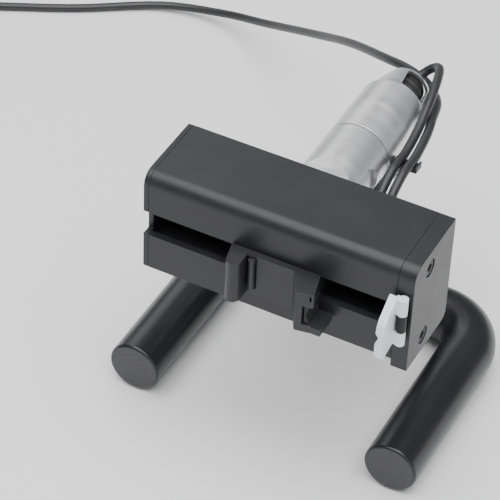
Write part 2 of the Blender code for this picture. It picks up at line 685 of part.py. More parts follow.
def build_cable():
    tube("cable", smooth_route([on_table(*p) for p in CORD_ROUTE], 2), CORD_R, JACKET)
    tube("cable_tail", smooth_route([on_table(*p) for p in TAIL_ROUTE], 2), CORD_R, JACKET)


def build_coil():
    """Outer shape of the coiled length, and the tie that holds it."""
    low, high, corner = COIL_LOW, COIL_HIGH, 1.6
    profile = [
        (COIL_OUTER - corner, high), (COIL_OUTER, high - corner), (COIL_OUTER, low + corner),
        (COIL_OUTER - corner, low), (COIL_INNER + corner, low), (COIL_INNER, low + corner),
        (COIL_INNER, high - corner), (COIL_INNER + corner, high),
    ]
    turned("cable_coil", profile, on_table(COIL_X, COIL_Y, 0), (0, 0, 1), JACKET, 36)
    outer = on_table(COIL_X, COIL_Y, 0)
    across = (COIL_X + COIL_INNER - 1.2, COIL_X + COIL_OUTER + 1.2)
    height = (0.05 - AXIS_Z, COIL_HIGH + 0.9 - AXIS_Z)
    tie = box("cable_tie", across, (COIL_Y - 2.2, COIL_Y + 2.2), height, RUBBER)
    hole = turned("tie_hole", [
        (COIL_OUTER + GAP, COIL_HIGH + GAP), (COIL_OUTER + GAP, COIL_LOW - GAP),
        (COIL_INNER - GAP, COIL_LOW - GAP), (COIL_INNER - GAP, COIL_HIGH + GAP)],
        outer, (0, 0, 1), None, 36)
    boolean(tie, hole)


def build_plug():
    """Round connector: ribbed boot, grip, metal shell and pin insert."""
    origin = on_table(PLUG_X, 128.0, 8.3)
    way = (0, -1, 0)
    boot = [(0.0, 16.0), (6.2, 16.0)]
    ribs = 4
    for i in reversed(range(ribs)):
        crest = 3.0 + 2.6 * i / (ribs - 1)
        at = 1.0 + 3.4 * i
        boot += [(crest, at + 3.0), (crest, at + 1.1), (crest - 0.6, at + 0.4)]
    boot += [(2.5, 0.0), (0.0, 0.0)]
    turned("plug_boot", boot, origin, way, RUBBER, 16, False)
    grip = [(7.6, 30.0), (8.1, 29.4), (8.1, 17.4), (7.4, 16.3), (0.0, 16.3)]
    turned("plug_grip", [(0.0, 30.0)] + grip, origin, way, MOULDED, 24, False)
    shell = [(6.7, 41.5), (6.7, 30.3), (5.7, 30.3), (5.7, 41.5)]
    turned("plug_shell", shell, origin, way, STEEL, 24)
    insert = turned("plug_insert", [(0.0, 35.0), (5.4, 35.0), (5.4, 30.3), (0.0, 30.3)], origin, way, MOULDED,
                    20, False)
    for i in range(5):
        a = math.radians(180 * i / 4 - 180)
        base = origin + Vector((3.3 * MM * math.cos(a), -34.0 * MM, 3.3 * MM * math.sin(a)))
        pin = rod("plug_pin", base, base + Vector((0, -6.5 * MM, 0)), 0.7, sides=10)
        boolean(insert, pin, "UNION")


# ----------------------------------------------------------- joint axes

HEAD_PIECES = [
    "front_sleeve", "swivel_spindle", "friction_washer", "retaining_ring", "sleeve_screw_1",
    "sleeve_screw_2", "preamp_board", "amplifier_chip", "head_block", "end_plate", "end_plate_screw_1",
    "end_plate_screw_2", "left_end_cap", "left_cap_screw_1", "left_cap_screw_2", "guide_rod",
    "sensor_stem", "piezo_element", "contact_pin",
]
JAW_PIECES = [
    "jaw_body", "jaw_pad", "jaw_carriage", "carriage_pin", "catch_spring",
]
CATCH_PIECES = [
    "release_catch",
]
CONTACT_PIECES = [
    "watch_contact",
]


def joint_axis(name, spot, parent=None):
    """An empty on a joint's axis, carried by the joint before it."""
    axis = bpy.data.objects.new(name, None)
    axis.empty_display_size = 10 * MM
    PARTS.objects.link(axis)
    axis.parent = parent
    axis.location = spot - parent.matrix_world.translation if parent else spot
    bpy.context.view_layer.update()
    return axis


def hang(axis, names):
    """Parents the pieces to the empty without moving them."""
    for name in names:
        piece = bpy.data.objects[name]
        piece.parent = axis
        piece.matrix_parent_inverse = axis.matrix_world.inverted()


def hang_moving_pieces():
    swivel = joint_axis("head_swivel_axis", place(0, 0, 0))
    slide = joint_axis("jaw_slide_axis", place(0, ROD_Y, ROD_Z), swivel)
    squeeze = joint_axis("catch_squeeze_axis", place(CATCH_X, ROD_Y, ROD_Z), slide)
    rock = joint_axis("contact_rock_axis", place(PIN_X, PIN_Y, 0), swivel)
    hang(swivel, HEAD_PIECES)
    hang(slide, JAW_PIECES)
    hang(squeeze, CATCH_PIECES)
    hang(rock, CONTACT_PIECES)


build_base_bar()
build_foot_pads()
build_post()
build_rear_housing()
build_bushes()
build_spindle()
build_front_sleeve()
build_sleeve_screws()
build_preamplifier()
build_rear_cap()
build_boot()
build_cable_clip()
build_head_block()
build_end_plate()
build_left_cap()
build_guide_rod()
build_jaw_body()
build_jaw_pad()
build_carriage()
build_release_catch()
build_catch_spring()
build_sensor()
build_contact()
build_cable()
build_coil()
build_plug()
hang_moving_pieces()
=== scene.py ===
# %% [markdown]
# # A watch testing microphone on its bar stand
# A watchmaker clamps a watch between the sliding jaw and the white contact of the
# head, and a sensor behind the contact hears the movement tick. The head swivels on
# the tube behind it, so that the watch can be tested in several positions.
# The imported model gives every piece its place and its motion. Here each piece
# gets its fine shape and its finish.

# %% Load the frame
import json
import math

import bmesh
import bpy
from mathutils import Matrix, Vector


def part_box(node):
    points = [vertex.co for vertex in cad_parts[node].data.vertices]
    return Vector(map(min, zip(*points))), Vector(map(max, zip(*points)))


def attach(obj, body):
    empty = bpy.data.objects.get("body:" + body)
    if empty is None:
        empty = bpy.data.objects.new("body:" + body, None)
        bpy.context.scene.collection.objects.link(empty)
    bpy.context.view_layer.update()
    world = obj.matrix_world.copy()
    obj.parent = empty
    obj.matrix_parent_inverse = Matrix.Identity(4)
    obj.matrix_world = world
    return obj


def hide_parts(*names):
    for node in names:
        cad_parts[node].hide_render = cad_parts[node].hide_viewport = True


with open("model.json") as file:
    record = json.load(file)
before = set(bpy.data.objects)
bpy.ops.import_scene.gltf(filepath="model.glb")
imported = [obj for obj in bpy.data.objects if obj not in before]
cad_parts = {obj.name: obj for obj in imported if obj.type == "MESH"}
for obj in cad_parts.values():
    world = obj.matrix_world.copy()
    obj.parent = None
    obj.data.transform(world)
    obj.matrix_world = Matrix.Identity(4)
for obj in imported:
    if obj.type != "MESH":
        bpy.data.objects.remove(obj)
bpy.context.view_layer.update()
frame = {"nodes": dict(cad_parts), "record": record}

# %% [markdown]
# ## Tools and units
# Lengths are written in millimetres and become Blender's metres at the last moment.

MM = 0.001

# %% [markdown]
# ## Places
# The swivel axis is the natural centre of this object, so most places are given
# from it: x across, y back from the head's front face, z up from the axis.
# The front face and the axis come from the boxes of two pieces of the frame.

# %% Places measured from the head and from the table
BLOCK_LOW = Vector(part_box("head_block")[0])
TUBE_LOW, TUBE_HIGH = (Vector(corner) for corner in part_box("rear_housing"))
FRONT = BLOCK_LOW.y / MM
AXIS_Z = (TUBE_LOW.z + TUBE_HIGH.z) / 2 / MM
TUBE_R = (TUBE_HIGH.z - TUBE_LOW.z) / 2 / MM


def place(x, y, z):
    """Millimetres from the head's front face and the swivel axis, as a point in metres."""
    return Vector((x * MM, (FRONT + y) * MM, (AXIS_Z + z) * MM))


def on_table(x, y, z):
    """The same x and y, with z measured up from the table."""
    return Vector((x * MM, (FRONT + y) * MM, z * MM))


print(f"head front at {FRONT:.1f} mm, swivel axis {AXIS_Z:.1f} mm up, tube radius {TUBE_R:.1f} mm")

# %% [markdown]
# ## Camera
# A long lens looks down on the stand from its front right. Giving the camera a
# target, two angles, a roll and a distance says more than a matrix would.

# %% Camera
CAMERA_TARGET = place(-24.7, 35.8, -30.3)
CAMERA_AZIMUTH = 25.77
CAMERA_ELEVATION = 41.58
CAMERA_ROLL = 2.62
CAMERA_DISTANCE = 0.9857
CAMERA_LENS = 181.2


def make_camera():
    a, e = math.radians(CAMERA_AZIMUTH), math.radians(CAMERA_ELEVATION)
    back = Vector((math.sin(a) * math.cos(e), -math.cos(a) * math.cos(e), math.sin(e)))
    data = bpy.data.cameras.new("bench_camera")
    data.lens = CAMERA_LENS
    data.sensor_width = 36.0
    camera = bpy.data.objects.new("bench_camera", data)
    bpy.context.scene.collection.objects.link(camera)
    look = (-back).to_track_quat("-Z", "Y").to_matrix().to_4x4()
    roll = Matrix.Rotation(math.radians(CAMERA_ROLL), 4, "Z")
    camera.matrix_world = Matrix.Translation(CAMERA_TARGET + back * CAMERA_DISTANCE) @ look @ roll
    bpy.context.scene.camera = camera
    return camera


print("camera at", [round(v, 3) for v in make_camera().matrix_world.translation])

# %% [markdown]
# ## Which body and which finish a piece belongs to
# The record already says which nodes move together and which finish each has.
# Turning those lists round lets one call put a finished piece in its place.

# %% Body and finish of each node
BODY_OF = {node: body for body, nodes in frame["record"]["behaviour"]["bodies"].items() for node in nodes}
SLOT_OF = {entry["node"]: entry["material_slot"] for entry in frame["record"]["subparts"]}
print(len(BODY_OF), "nodes in", len(set(BODY_OF.values())), "bodies,", len(set(SLOT_OF.values())), "finishes")

# %% [markdown]
# ## Shared effects for the finishes
# Grain, lathe lines, worn edges, dust and the bar ends' painted front light are effects
# on their own. Each is a shader node group that puts out a mask or a height, and each
# material feeds its own numbers in. The shader itself stays in the material.

# %% Helpers that build shader node groups


def new_effect(name, inputs, outputs):
    """An empty shader group with a vector input, number inputs and number outputs."""
    group = bpy.data.node_groups.new(name, "ShaderNodeTree")
    group.interface.new_socket("Vector", in_out="INPUT", socket_type="NodeSocketVector")
    for label, value in inputs.items():
        socket = group.interface.new_socket(label, in_out="INPUT", socket_type="NodeSocketFloat")
        socket.default_value = value
    for label in outputs:
        group.interface.new_socket(label, in_out="OUTPUT", socket_type="NodeSocketFloat")
    return group, group.nodes.new("NodeGroupInput"), group.nodes.new("NodeGroupOutput")


def maths(tree, operation, first, second=0.0, clamp=False):
    """A Math node's result; its inputs are sockets or numbers."""
    node = tree.nodes.new("ShaderNodeMath")
    node.operation = operation
    node.use_clamp = clamp
    for socket, value in zip(node.inputs, (first, second)):
        if isinstance(value, (int, float)):
            socket.default_value = value
        else:
            tree.links.new(value, socket)
    return node.outputs[0]


def noise(tree, vector, scale, detail=3.0, roughness=0.55):
    """A noise value from 0 to 1; scale is a socket or a number."""
    node = tree.nodes.new("ShaderNodeTexNoise")
    node.inputs["Detail"].default_value = detail
    node.inputs["Roughness"].default_value = roughness
    tree.links.new(vector, node.inputs["Vector"])
    if isinstance(scale, (int, float)):
        node.inputs["Scale"].default_value = scale
    else:
        tree.links.new(scale, node.inputs["Scale"])
    return node.outputs["Fac"]


def ramp(tree, value, low, high):
    """Smoothly 0 below low and 1 above high."""
    node = tree.nodes.new("ShaderNodeMapRange")
    node.interpolation_type = "SMOOTHSTEP"
    tree.links.new(value, node.inputs["Value"])
    node.inputs["From Min"].default_value = low
    node.inputs["From Max"].default_value = high
    return node.outputs["Result"]


print("helpers: an empty effect, a sum, a noise and a ramp")

# %% [markdown]
# ### Grain
# Blasted metal, moulded plastic and powder coat all have fine pits over a slow
# cloudiness. Two noises do it: the fine one is a height, the slow one a mask.

# %% Grain: blasted metal, moulded plastic and powder coat


def build_grain():
    """Fine pits over slow unevenness."""
    group, start, end = new_effect("surface_grain", {"Scale": 4000.0}, ("Height", "Cloud"))
    fine = noise(group, start.outputs["Vector"], start.outputs["Scale"], 4.0, 0.6)
    slow = noise(group, start.outputs["Vector"], maths(group, "DIVIDE", start.outputs["Scale"], 60.0), 3.0)
    group.links.new(fine, end.inputs["Height"])
    group.links.new(slow, end.inputs["Cloud"])
    return group


GRAIN = build_grain()
print("grain nodes:", len(GRAIN.nodes))

# %% [markdown]
# ### Lathe lines
# A turned tube has fine rings round its axis. A noise whose X and Z are squashed to
# almost nothing only changes along Y, and that makes rings without unwrapping.

# %% Lathe lines: fine rings round the swivel axis


def build_lathe_lines():
    """A line pattern that only changes along Y, as a turning tool leaves it."""
    group, start, end = new_effect("lathe_lines", {"Scale": 2500.0}, ("Height", "Cloud"))
    squash = group.nodes.new("ShaderNodeVectorMath")
    squash.operation = "MULTIPLY"
    squash.inputs[1].default_value = (0.004, 1.0, 0.004)
    group.links.new(start.outputs["Vector"], squash.inputs[0])
    lines = noise(group, squash.outputs[0], start.outputs["Scale"], 3.0, 0.7)
    bands = noise(group, squash.outputs[0], maths(group, "DIVIDE", start.outputs["Scale"], 12.0), 2.0)
    group.links.new(lines, end.inputs["Height"])
    group.links.new(bands, end.inputs["Cloud"])
    return group


LATHE_LINES = build_lathe_lines()
print("lathe line nodes:", len(LATHE_LINES.nodes))

# %% [markdown]
# ### Worn edges
# Hands rub the colour off edges first. The Bevel node's normal differs from the true
# one only at an edge, so comparing them finds edges without a painted mask.

# %% Worn edges: where the rounded normal leaves the real one


def build_worn_edges():
    """1 on an outer or inner edge, broken up by noise."""
    group, start, end = new_effect("worn_edges", {"Radius": 0.0004}, ("Mask",))
    bevelled = group.nodes.new("ShaderNodeBevel")
    bevelled.samples = 6
    group.links.new(start.outputs["Radius"], bevelled.inputs["Radius"])
    true_normal = group.nodes.new("ShaderNodeNewGeometry")
    compare = group.nodes.new("ShaderNodeVectorMath")
    compare.operation = "DOT_PRODUCT"
    group.links.new(bevelled.outputs["Normal"], compare.inputs[0])
    group.links.new(true_normal.outputs["Normal"], compare.inputs[1])
    edge = maths(group, "SUBTRACT", 1.0, compare.outputs["Value"], clamp=True)
    broken = ramp(group, noise(group, start.outputs["Vector"], 900.0, 4.0), 0.35, 0.65)
    group.links.new(maths(group, "MULTIPLY", ramp(group, edge, 0.01, 0.16), broken), end.inputs["Mask"])
    return group


WORN_EDGES = build_worn_edges()
print("worn edge nodes:", len(WORN_EDGES.nodes))

# %% [markdown]
# ### Dust
# Dust settles on faces that look up. Specks and a film are multiplied by how far
# the normal points up.

# %% Dust: a few pale specks and a faint film on faces that look up


def build_dust():
    group, start, end = new_effect("bench_dust", {"Amount": 0.2}, ("Mask",))
    specks = ramp(group, noise(group, start.outputs["Vector"], 1500.0, 2.0), 0.70, 0.76)
    film = ramp(group, noise(group, start.outputs["Vector"], 45.0, 4.0), 0.40, 0.75)
    normal = group.nodes.new("ShaderNodeNewGeometry")
    parts = group.nodes.new("ShaderNodeSeparateXYZ")
    group.links.new(normal.outputs["Normal"], parts.inputs[0])
    upward = maths(group, "MAXIMUM", parts.outputs["Z"], 0.0)
    both = maths(group, "ADD", specks, maths(group, "MULTIPLY", film, 0.12), clamp=True)
    lying = maths(group, "MULTIPLY", both, upward)
    group.links.new(maths(group, "MULTIPLY", lying, start.outputs["Amount"]), end.inputs["Mask"])
    return group


DUST = build_dust()
print("dust nodes:", len(DUST.nodes))

# %% [markdown]
# ### Painted front light on the bar ends
# The bar's two ends are painted paler in patches, a painted light that stands in for the
# light from the front falling on them. They are the bar's only faces that look straight
# forward, so the normal finds them.

# %% Bar ends: painted front light, paler in patches on faces that look straight forward


def build_painted_front_light():
    group, start, end = new_effect("painted_front_light", {"Amount": 1.0}, ("Mask",))
    normal = group.nodes.new("ShaderNodeNewGeometry")
    parts = group.nodes.new("ShaderNodeSeparateXYZ")
    group.links.new(normal.outputs["Normal"], parts.inputs[0])
    # painted light: faces that look straight forward get the paler colour, in patches
    facing = ramp(group, maths(group, "MULTIPLY", parts.outputs["Y"], -1.0), 0.90, 0.99)
    patches = ramp(group, noise(group, start.outputs["Vector"], 1200.0, 4.0), 0.15, 0.75)
    front_lit = maths(group, "MULTIPLY", facing, patches)
    group.links.new(maths(group, "MULTIPLY", front_lit, start.outputs["Amount"]), end.inputs["Mask"])
    return group


PAINTED_FRONT_LIGHT = build_painted_front_light()
print("effects:", [group.name for group in (GRAIN, LATHE_LINES, WORN_EDGES, DUST, PAINTED_FRONT_LIGHT)])

# %% [markdown]
# ## Finishes
# A Principled shader describes every finish here. What tells black anodising from
# black plastic is how rough it is, how that roughness wanders and what the edges
# do, so each finish states these few numbers and the recipe wires them up.

# %% The recipe for a finish
DUST_COLOUR = (0.42, 0.41, 0.39)
FINISHES = {}


def blend_colour(tree, mask, under, over):
    """Colour socket of over laid on under where mask is 1; both are sockets or colours."""
    node = tree.nodes.new("ShaderNodeMix")
    node.data_type = "RGBA"
    tree.links.new(mask, node.inputs["Factor"])
    for label, value in (("A", under), ("B", over)):
        socket = next(s for s in node.inputs if s.name == label and s.type == "RGBA")
        if isinstance(value, tuple):
            socket.default_value = (*value, 1.0)
        else:
            tree.links.new(value, socket)
    return next(s for s in node.outputs if s.type == "RGBA")


def use_effect(tree, group, vector, **values):
    node = tree.nodes.new("ShaderNodeGroup")
    node.node_tree = group
    tree.links.new(vector, node.inputs["Vector"])
    for label, value in values.items():
        node.inputs[label].default_value = value
    return node


def base_colour(tree, vector, surface, colour, tone, worn, ends, dust):
    """The colour, wandering down to tone of itself, with worn edges, painted front light on the ends and dust
    on it.
    """
    deeper = tuple(c * tone for c in colour)
    shade = blend_colour(tree, surface.outputs["Cloud"], deeper, colour)
    # the ends colour is painted light: forward-facing faces made paler as if lit from the front
    for group, over in ((WORN_EDGES, worn), (PAINTED_FRONT_LIGHT, ends)):
        if over:
            shade = blend_colour(tree, use_effect(tree, group, vector).outputs["Mask"], shade, over)
    if dust:
        specks = use_effect(tree, DUST, vector, Amount=dust)
        shade = blend_colour(tree, specks.outputs["Mask"], shade, DUST_COLOUR)
    return shade


def uneven_roughness(tree, surface, roughness, spread):
    """Roughness that wanders slowly by spread either way and flickers finely by half of it."""
    slow = maths(tree, "MULTIPLY", maths(tree, "SUBTRACT", surface.outputs["Cloud"], 0.5), spread * 2)
    fine = maths(tree, "MULTIPLY", maths(tree, "SUBTRACT", surface.outputs["Height"], 0.5), spread)
    return maths(tree, "ADD", maths(tree, "ADD", slow, fine), roughness, clamp=True)


# ends is the colour of painted front light on faces that look straight forward
def finish(name, colour, roughness, spread=0.08, metallic=0.0, pattern=None, scale=4000.0, height=0.00001,
           tone=0.82, worn=None, dust=0.2, ends=None):
    """Makes a finish and keeps it by name; scale and height are its grain's or lathe lines'."""
    material = bpy.data.materials.new(name)
    material.use_nodes = True
    tree = material.node_tree
    shader = tree.nodes["Principled BSDF"]
    shader.inputs["Metallic"].default_value = metallic
    vector = tree.nodes.new("ShaderNodeTexCoord").outputs["Object"]
    surface = use_effect(tree, pattern or GRAIN, vector, Scale=scale)
    shade = base_colour(tree, vector, surface, colour, tone, worn, ends, dust)
    tree.links.new(shade, shader.inputs["Base Color"])
    tree.links.new(uneven_roughness(tree, surface, roughness, spread), shader.inputs["Roughness"])
    bump = tree.nodes.new("ShaderNodeBump")
    bump.inputs["Distance"].default_value = height
    tree.links.new(surface.outputs["Height"], bump.inputs["Height"])
    tree.links.new(bump.outputs["Normal"], shader.inputs["Normal"])
    FINISHES[name] = material


print("a finish lays dust of", DUST_COLOUR, "over its own colour")

# %% [markdown]
# ## The finishes of this stand
# The head is black anodised aluminium, the bar is coated steel, the swivel tube is
# bare satin aluminium with fine lathe lines, and the contact is waxy white nylon.

# %% Metals
finish("black_anodised", (0.018, 0.018, 0.0215), 0.38, 0.05, scale=5000.0, height=0.000012,
       worn=(0.035, 0.035, 0.04), dust=0.08)
# the ends colour here is painted front light on the bar's forward-facing ends
finish("black_coated", (0.009, 0.009, 0.011), 0.30, 0.05, scale=1800.0, height=0.00002,
       worn=(0.06, 0.06, 0.06), dust=0.08, ends=(0.042, 0.042, 0.046))
finish("satin_aluminium", (0.82, 0.82, 0.83), 0.42, 0.10, 1.0, LATHE_LINES, 2600.0, 0.000008, 0.88,
       worn=(0.95, 0.95, 0.95), dust=0.05)
finish("bright_steel", (0.60, 0.60, 0.62), 0.24, 0.08, 1.0, scale=3000.0, height=0.000004, dust=0.05)
finish("black_steel", (0.010, 0.010, 0.011), 0.45, 0.1, scale=2500.0, height=0.000015,
       worn=(0.05, 0.048, 0.045), dust=0.05)
finish("bearing_bronze", (0.55, 0.33, 0.12), 0.35, 0.08, 1.0, LATHE_LINES, 2000.0, 0.000006)
print("metals:", sorted(FINISHES))

# %% [markdown]
# ### Plastics and rubber
# These have no metallic value. The nylon also lets a little light in under its
# surface, which keeps white plastic from looking like chalk.

# %% Plastics, rubber and the inner parts
finish("black_moulding", (0.022, 0.022, 0.025), 0.40, 0.06, scale=6500.0, height=0.000022,
       worn=(0.05, 0.05, 0.055), dust=0.15)
finish("white_nylon", (0.80, 0.82, 0.86), 0.38, 0.06, scale=2200.0, height=0.00001, tone=0.93, dust=0.1)
finish("black_rubber", (0.014, 0.014, 0.015), 0.62, 0.1, scale=3500.0, height=0.00003, dust=0.3)
finish("cable_jacket", (0.020, 0.020, 0.022), 0.40, 0.08, scale=1600.0, height=0.00002, dust=0.15)
finish("circuit_board", (0.03, 0.14, 0.06), 0.4, 0.1, scale=2000.0, height=0.00002)
finish("sensor_ceramic", (0.75, 0.68, 0.5), 0.5, 0.1, scale=3000.0)


def set_constants():
    """Values that are the same all over a finish go straight on its shader."""
    nylon = FINISHES["white_nylon"].node_tree.nodes["Principled BSDF"]
    nylon.inputs["Subsurface Weight"].default_value = 0.25
    nylon.inputs["Subsurface Radius"].default_value = (0.0015, 0.0015, 0.0015)
    tube = FINISHES["satin_aluminium"].node_tree.nodes["Principled BSDF"]
    tube.inputs["Anisotropic"].default_value = 0.2
    for name, level in (("black_anodised", 0.38), ("black_moulding", 0.38), ("black_steel", 0.3)):
        shader = FINISHES[name].node_tree.nodes["Principled BSDF"]
        shader.inputs["Specular IOR Level"].default_value = level


set_constants()
print("finishes:", len(FINISHES), "and slots without one:", set(SLOT_OF.values()) - set(FINISHES))

# %% [markdown]
# ## From a working shape to a finished piece
# While a shape is made it may have a place, modifiers and cutters. A finished
# piece has none of them: its mesh holds the place, and it rides on its body.

# %% Working shapes


def work_object(name, mesh):
    obj = bpy.data.objects.new(name, mesh)
    bpy.context.scene.collection.objects.link(obj)
    return obj


def shaped(name, build):
    """A working object whose mesh build fills."""
    mesh = bpy.data.meshes.new(name)
    form = bmesh.new()
    build(form)
    form.to_mesh(mesh)
    form.free()
    return work_object(name, mesh)


def path(name, points, closed=False):
    """A working object of edges from point to point, for a modifier to spin or sweep."""
    def build(form):
        spots = [form.verts.new(point) for point in points]
        for first, second in zip(spots, spots[1:] + spots[:1] if closed else spots[1:]):
            form.edges.new((first, second))
    return shaped(name, build)


def rounded(work, width, angle=30.0, segments=3):
    """Rounds every edge sharper than angle."""
    step = work.modifiers.new("rounded_edges", "BEVEL")
    step.width = width * MM
    step.segments = segments
    step.limit_method = "ANGLE"
    step.angle_limit = math.radians(angle)
    step.use_clamp_overlap = True
    return work


CUTTERS = []


def cut(work, tool, operation="DIFFERENCE"):
    step = work.modifiers.new(operation.lower(), "BOOLEAN")
    step.operation = operation
    step.solver = "EXACT"
    step.object = tool
    tool.hide_render = True
    CUTTERS.append(tool)
    return work


def bake(work):
    """The shape as modifiers leave it, with its place in its mesh."""
    bpy.context.view_layer.update()
    depsgraph = bpy.context.evaluated_depsgraph_get()
    mesh = bpy.data.meshes.new_from_object(work.evaluated_get(depsgraph))
    mesh.transform(work.matrix_world)
    return mesh


def discard(work):
    for thing in [work, *CUTTERS]:
        bpy.data.objects.remove(thing)
    CUTTERS.clear()


def even_faces(name, mesh, smooth):
    """Smooth shading that keeps flat faces flat: rounded edges turn, large faces don't."""
    mesh.shade_smooth()
    mesh.set_sharp_from_angle(angle=math.radians(smooth))
    work = work_object(name, mesh)
    step = work.modifiers.new("even_faces", "WEIGHTED_NORMAL")
    step.keep_sharp = True
    evened = bake(work)
    discard(work)
    evened.name = name
    return evened


def settle(work, *nodes, smooth=32.0):
    """Finishes a working shape as the piece that stands for these nodes."""
    name, mesh = work.name, bake(work)
    discard(work)
    mesh = even_faces(name, mesh, smooth)
    mesh.materials.clear()
    mesh.materials.append(FINISHES[SLOT_OF[nodes[0]]])
    piece = work_object(name, mesh)
    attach(piece, BODY_OF[nodes[0]])
    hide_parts(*nodes)
    print(f"{name}: {len(mesh.polygons)} faces for {', '.join(nodes)}")
    return piece


print("a finished piece rides on one of", sorted(set(BODY_OF.values())))

# %% [markdown]
# ### Turned shapes
# Most of this tool is turned on a lathe. A Screw modifier does the same to a drawn
# profile, and plain cylinders and boxes serve as drills and milling cutters.

# %% Round shapes


def turned(name, profile, origin, direction, sides=96, closed=True):
    """Spins (radius, height) pairs round direction; the pairs run down the outer side first."""
    work = path(name, [(r * MM, 0.0, h * MM) for r, h in profile], closed)
    spin = work.modifiers.new("turn", "SCREW")
    spin.steps = sides
    spin.render_steps = sides
    spin.use_merge_vertices = True
    spin.merge_threshold = 0.00001
    work.location = origin
    work.rotation_euler = Vector(direction).to_track_quat("Z", "Y").to_euler()
    return work


def rod(name, start, end, radius, sides=64):
    """A plain round rod between two points, mostly used as a cutter."""
    work = shaped(name, lambda form: bmesh.ops.create_cone(
        form, cap_ends=True, segments=sides, radius1=radius * MM, radius2=radius * MM,
        depth=(end - start).length))
    work.location = (start + end) / 2
    work.rotation_euler = (end - start).to_track_quat("Z", "Y").to_euler()
    return work


def block(name, x, y, z):
    """A box between pairs of limits."""
    low, high = place(x[0], y[0], z[0]), place(x[1], y[1], z[1])

    def build(form):
        bmesh.ops.create_cube(form, size=1.0)
        bmesh.ops.scale(form, vec=high - low, verts=form.verts)

    work = shaped(name, build)
    work.location = (low + high) / 2
    return work


print("helpers: a turned shape, a rod and a block")

# %% [markdown]
# ### Finer copies
# Some outlines in the frame are right already and only need rounded edges. They are
# welded and cleared of flat edges first, because a bevel follows every edge it finds.

# %% A finer copy of a node whose shape is already right
WELD_DISTANCE = 0.000004


def refined(name, node, width, angle=30.0, segments=3):
    """Welds a copy of the node, clears flat faces of needless edges and rounds the rest."""
    def build(form):
        form.from_mesh(frame["nodes"][node].data)
        bmesh.ops.remove_doubles(form, verts=form.verts, dist=WELD_DISTANCE)
        bmesh.ops.dissolve_limit(form, angle_limit=math.radians(1.0), verts=form.verts, edges=form.edges)

    return rounded(shaped(name, build), width, angle, segments)


print("copies weld points closer than", WELD_DISTANCE / MM, "mm")

# %% [markdown]
# ## The cable
# The lead leaves the boot behind the tube, folds over to the right, runs forward
# over the cradle, hangs in a loop behind the head, comes back over the cradle
# and falls to the bench. The rest of its metre and a half is wound in a coil.
# A curve through the listed points keeps every bend soft.

# %% Route of the cable where it isn't coiled
CORD_R = 1.9
TABLE_REST = 2.0
CORD_ROUTE = [
    (0.0, 127.4, 90.9), (0.1, 129.6, 90.95), (1.7, 133.0, 92.1), (5.2, 135.3, 95.3),
    (9.2, 133.3, 98.3), (12.4, 124.4, 100.0), (14.7, 113.0, 98.8), (16.4, 98.0, 94.4),
    (17.2, 85.0, 92.2),
    (17.2, 78.0, 92.2), (17.2, 70.5, 91.3), (17.1, 59.5, 84.5), (16.6, 54.4, 71.0),
    (13.2, 53.3, 59.0), (10.9, 53.1, 52.5), (12.8, 53.0, 45.0), (19.8, 53.0, 41.5),
    (26.6, 53.2, 45.8), (27.4, 53.5, 54.0), (23.6, 54.0, 64.0), (21.9, 55.6, 75.0),
    (21.7, 61.0, 85.6), (21.7, 70.5, 91.3), (21.7, 78.0, 92.2), (21.7, 85.0, 92.2),
    (20.3, 98.0, 93.1), (18.2, 107.5, 93.5), (14.9, 120.0, 91.4), (7.6, 132.2, 87.1),
    (1.5, 137.2, 86.9), (-8.5, 142.2, 85.9), (-20.6, 149.3, 81.4), (-46.5, 172.2, 64.5),
    (-73.5, 195.3, 44.2), (-111.0, 221.3, 19.6), (-139.9, 233.0, 7.4),
    (-171.5, 229.4, 2.9), (-205.0, 208.8, TABLE_REST),
    (-236.5, 192.0, TABLE_REST), (-275.0, 172.3, TABLE_REST),
]
TAIL_ROUTE = [
    (-290.2, 150.0, 6.7), (-290.9, 144.0, 6.8), (-291.0, 138.0, 7.3), (-291.0, 132.5, 8.0),
    (-291.0, 128.5, 8.3),
]
print(len(CORD_ROUTE), "points before the coil and", len(TAIL_ROUTE), "after it")


def smooth_route(route, samples):
    """Points on a smooth curve through the route's own points."""
    ends = [route[0] * 2 - route[1]] + route + [route[-1] * 2 - route[-2]]
    points = []
    for before, start, end, after in zip(ends, ends[1:], ends[2:], ends[3:]):
        for i in range(samples):
            t = i / samples
            bend = (before * 2 - start * 5 + end * 4 - after) * t * t
            twist = (start * 3 - before - end * 3 + after) * t ** 3
            points.append((start * 2 + (end - before) * t + bend + twist) / 2)
    return points + [route[-1]]


# %% [markdown]
# The coil is six turns, three beside each other in two layers. Each turn stays
# round for most of its way and steps to the next place within a sixth of a turn,
# so neighbours never press into each other.

# %% Turns of the coil
COIL_MIDDLE = (-260.0, 146.0)
COIL_COLUMNS = (26.0, 22.05, 18.1)
COIL_LAYERS = (2.8, 6.7)
COIL_STEP = 60.0
ENTRY = Vector((CORD_ROUTE[-1][0] - COIL_MIDDLE[0], CORD_ROUTE[-1][1] - COIL_MIDDLE[1]))
LEAVE = Vector((TAIL_ROUTE[0][0] - COIL_MIDDLE[0], TAIL_ROUTE[0][1] - COIL_MIDDLE[1]))


def ease(t):
    return t * t * (3 - 2 * t) if t < 1 else 1.0


def coil_stations():
    """(radius, height) that each turn holds, the way in and the way out included."""
    outer, middle, inner = COIL_COLUMNS
    low, high = COIL_LAYERS
    return [
        (ENTRY.length, TABLE_REST), (outer, low), (middle, low), (inner, low),
        (inner, high), (middle, high), (outer, high), (LEAVE.length, TAIL_ROUTE[0][2]),
    ]


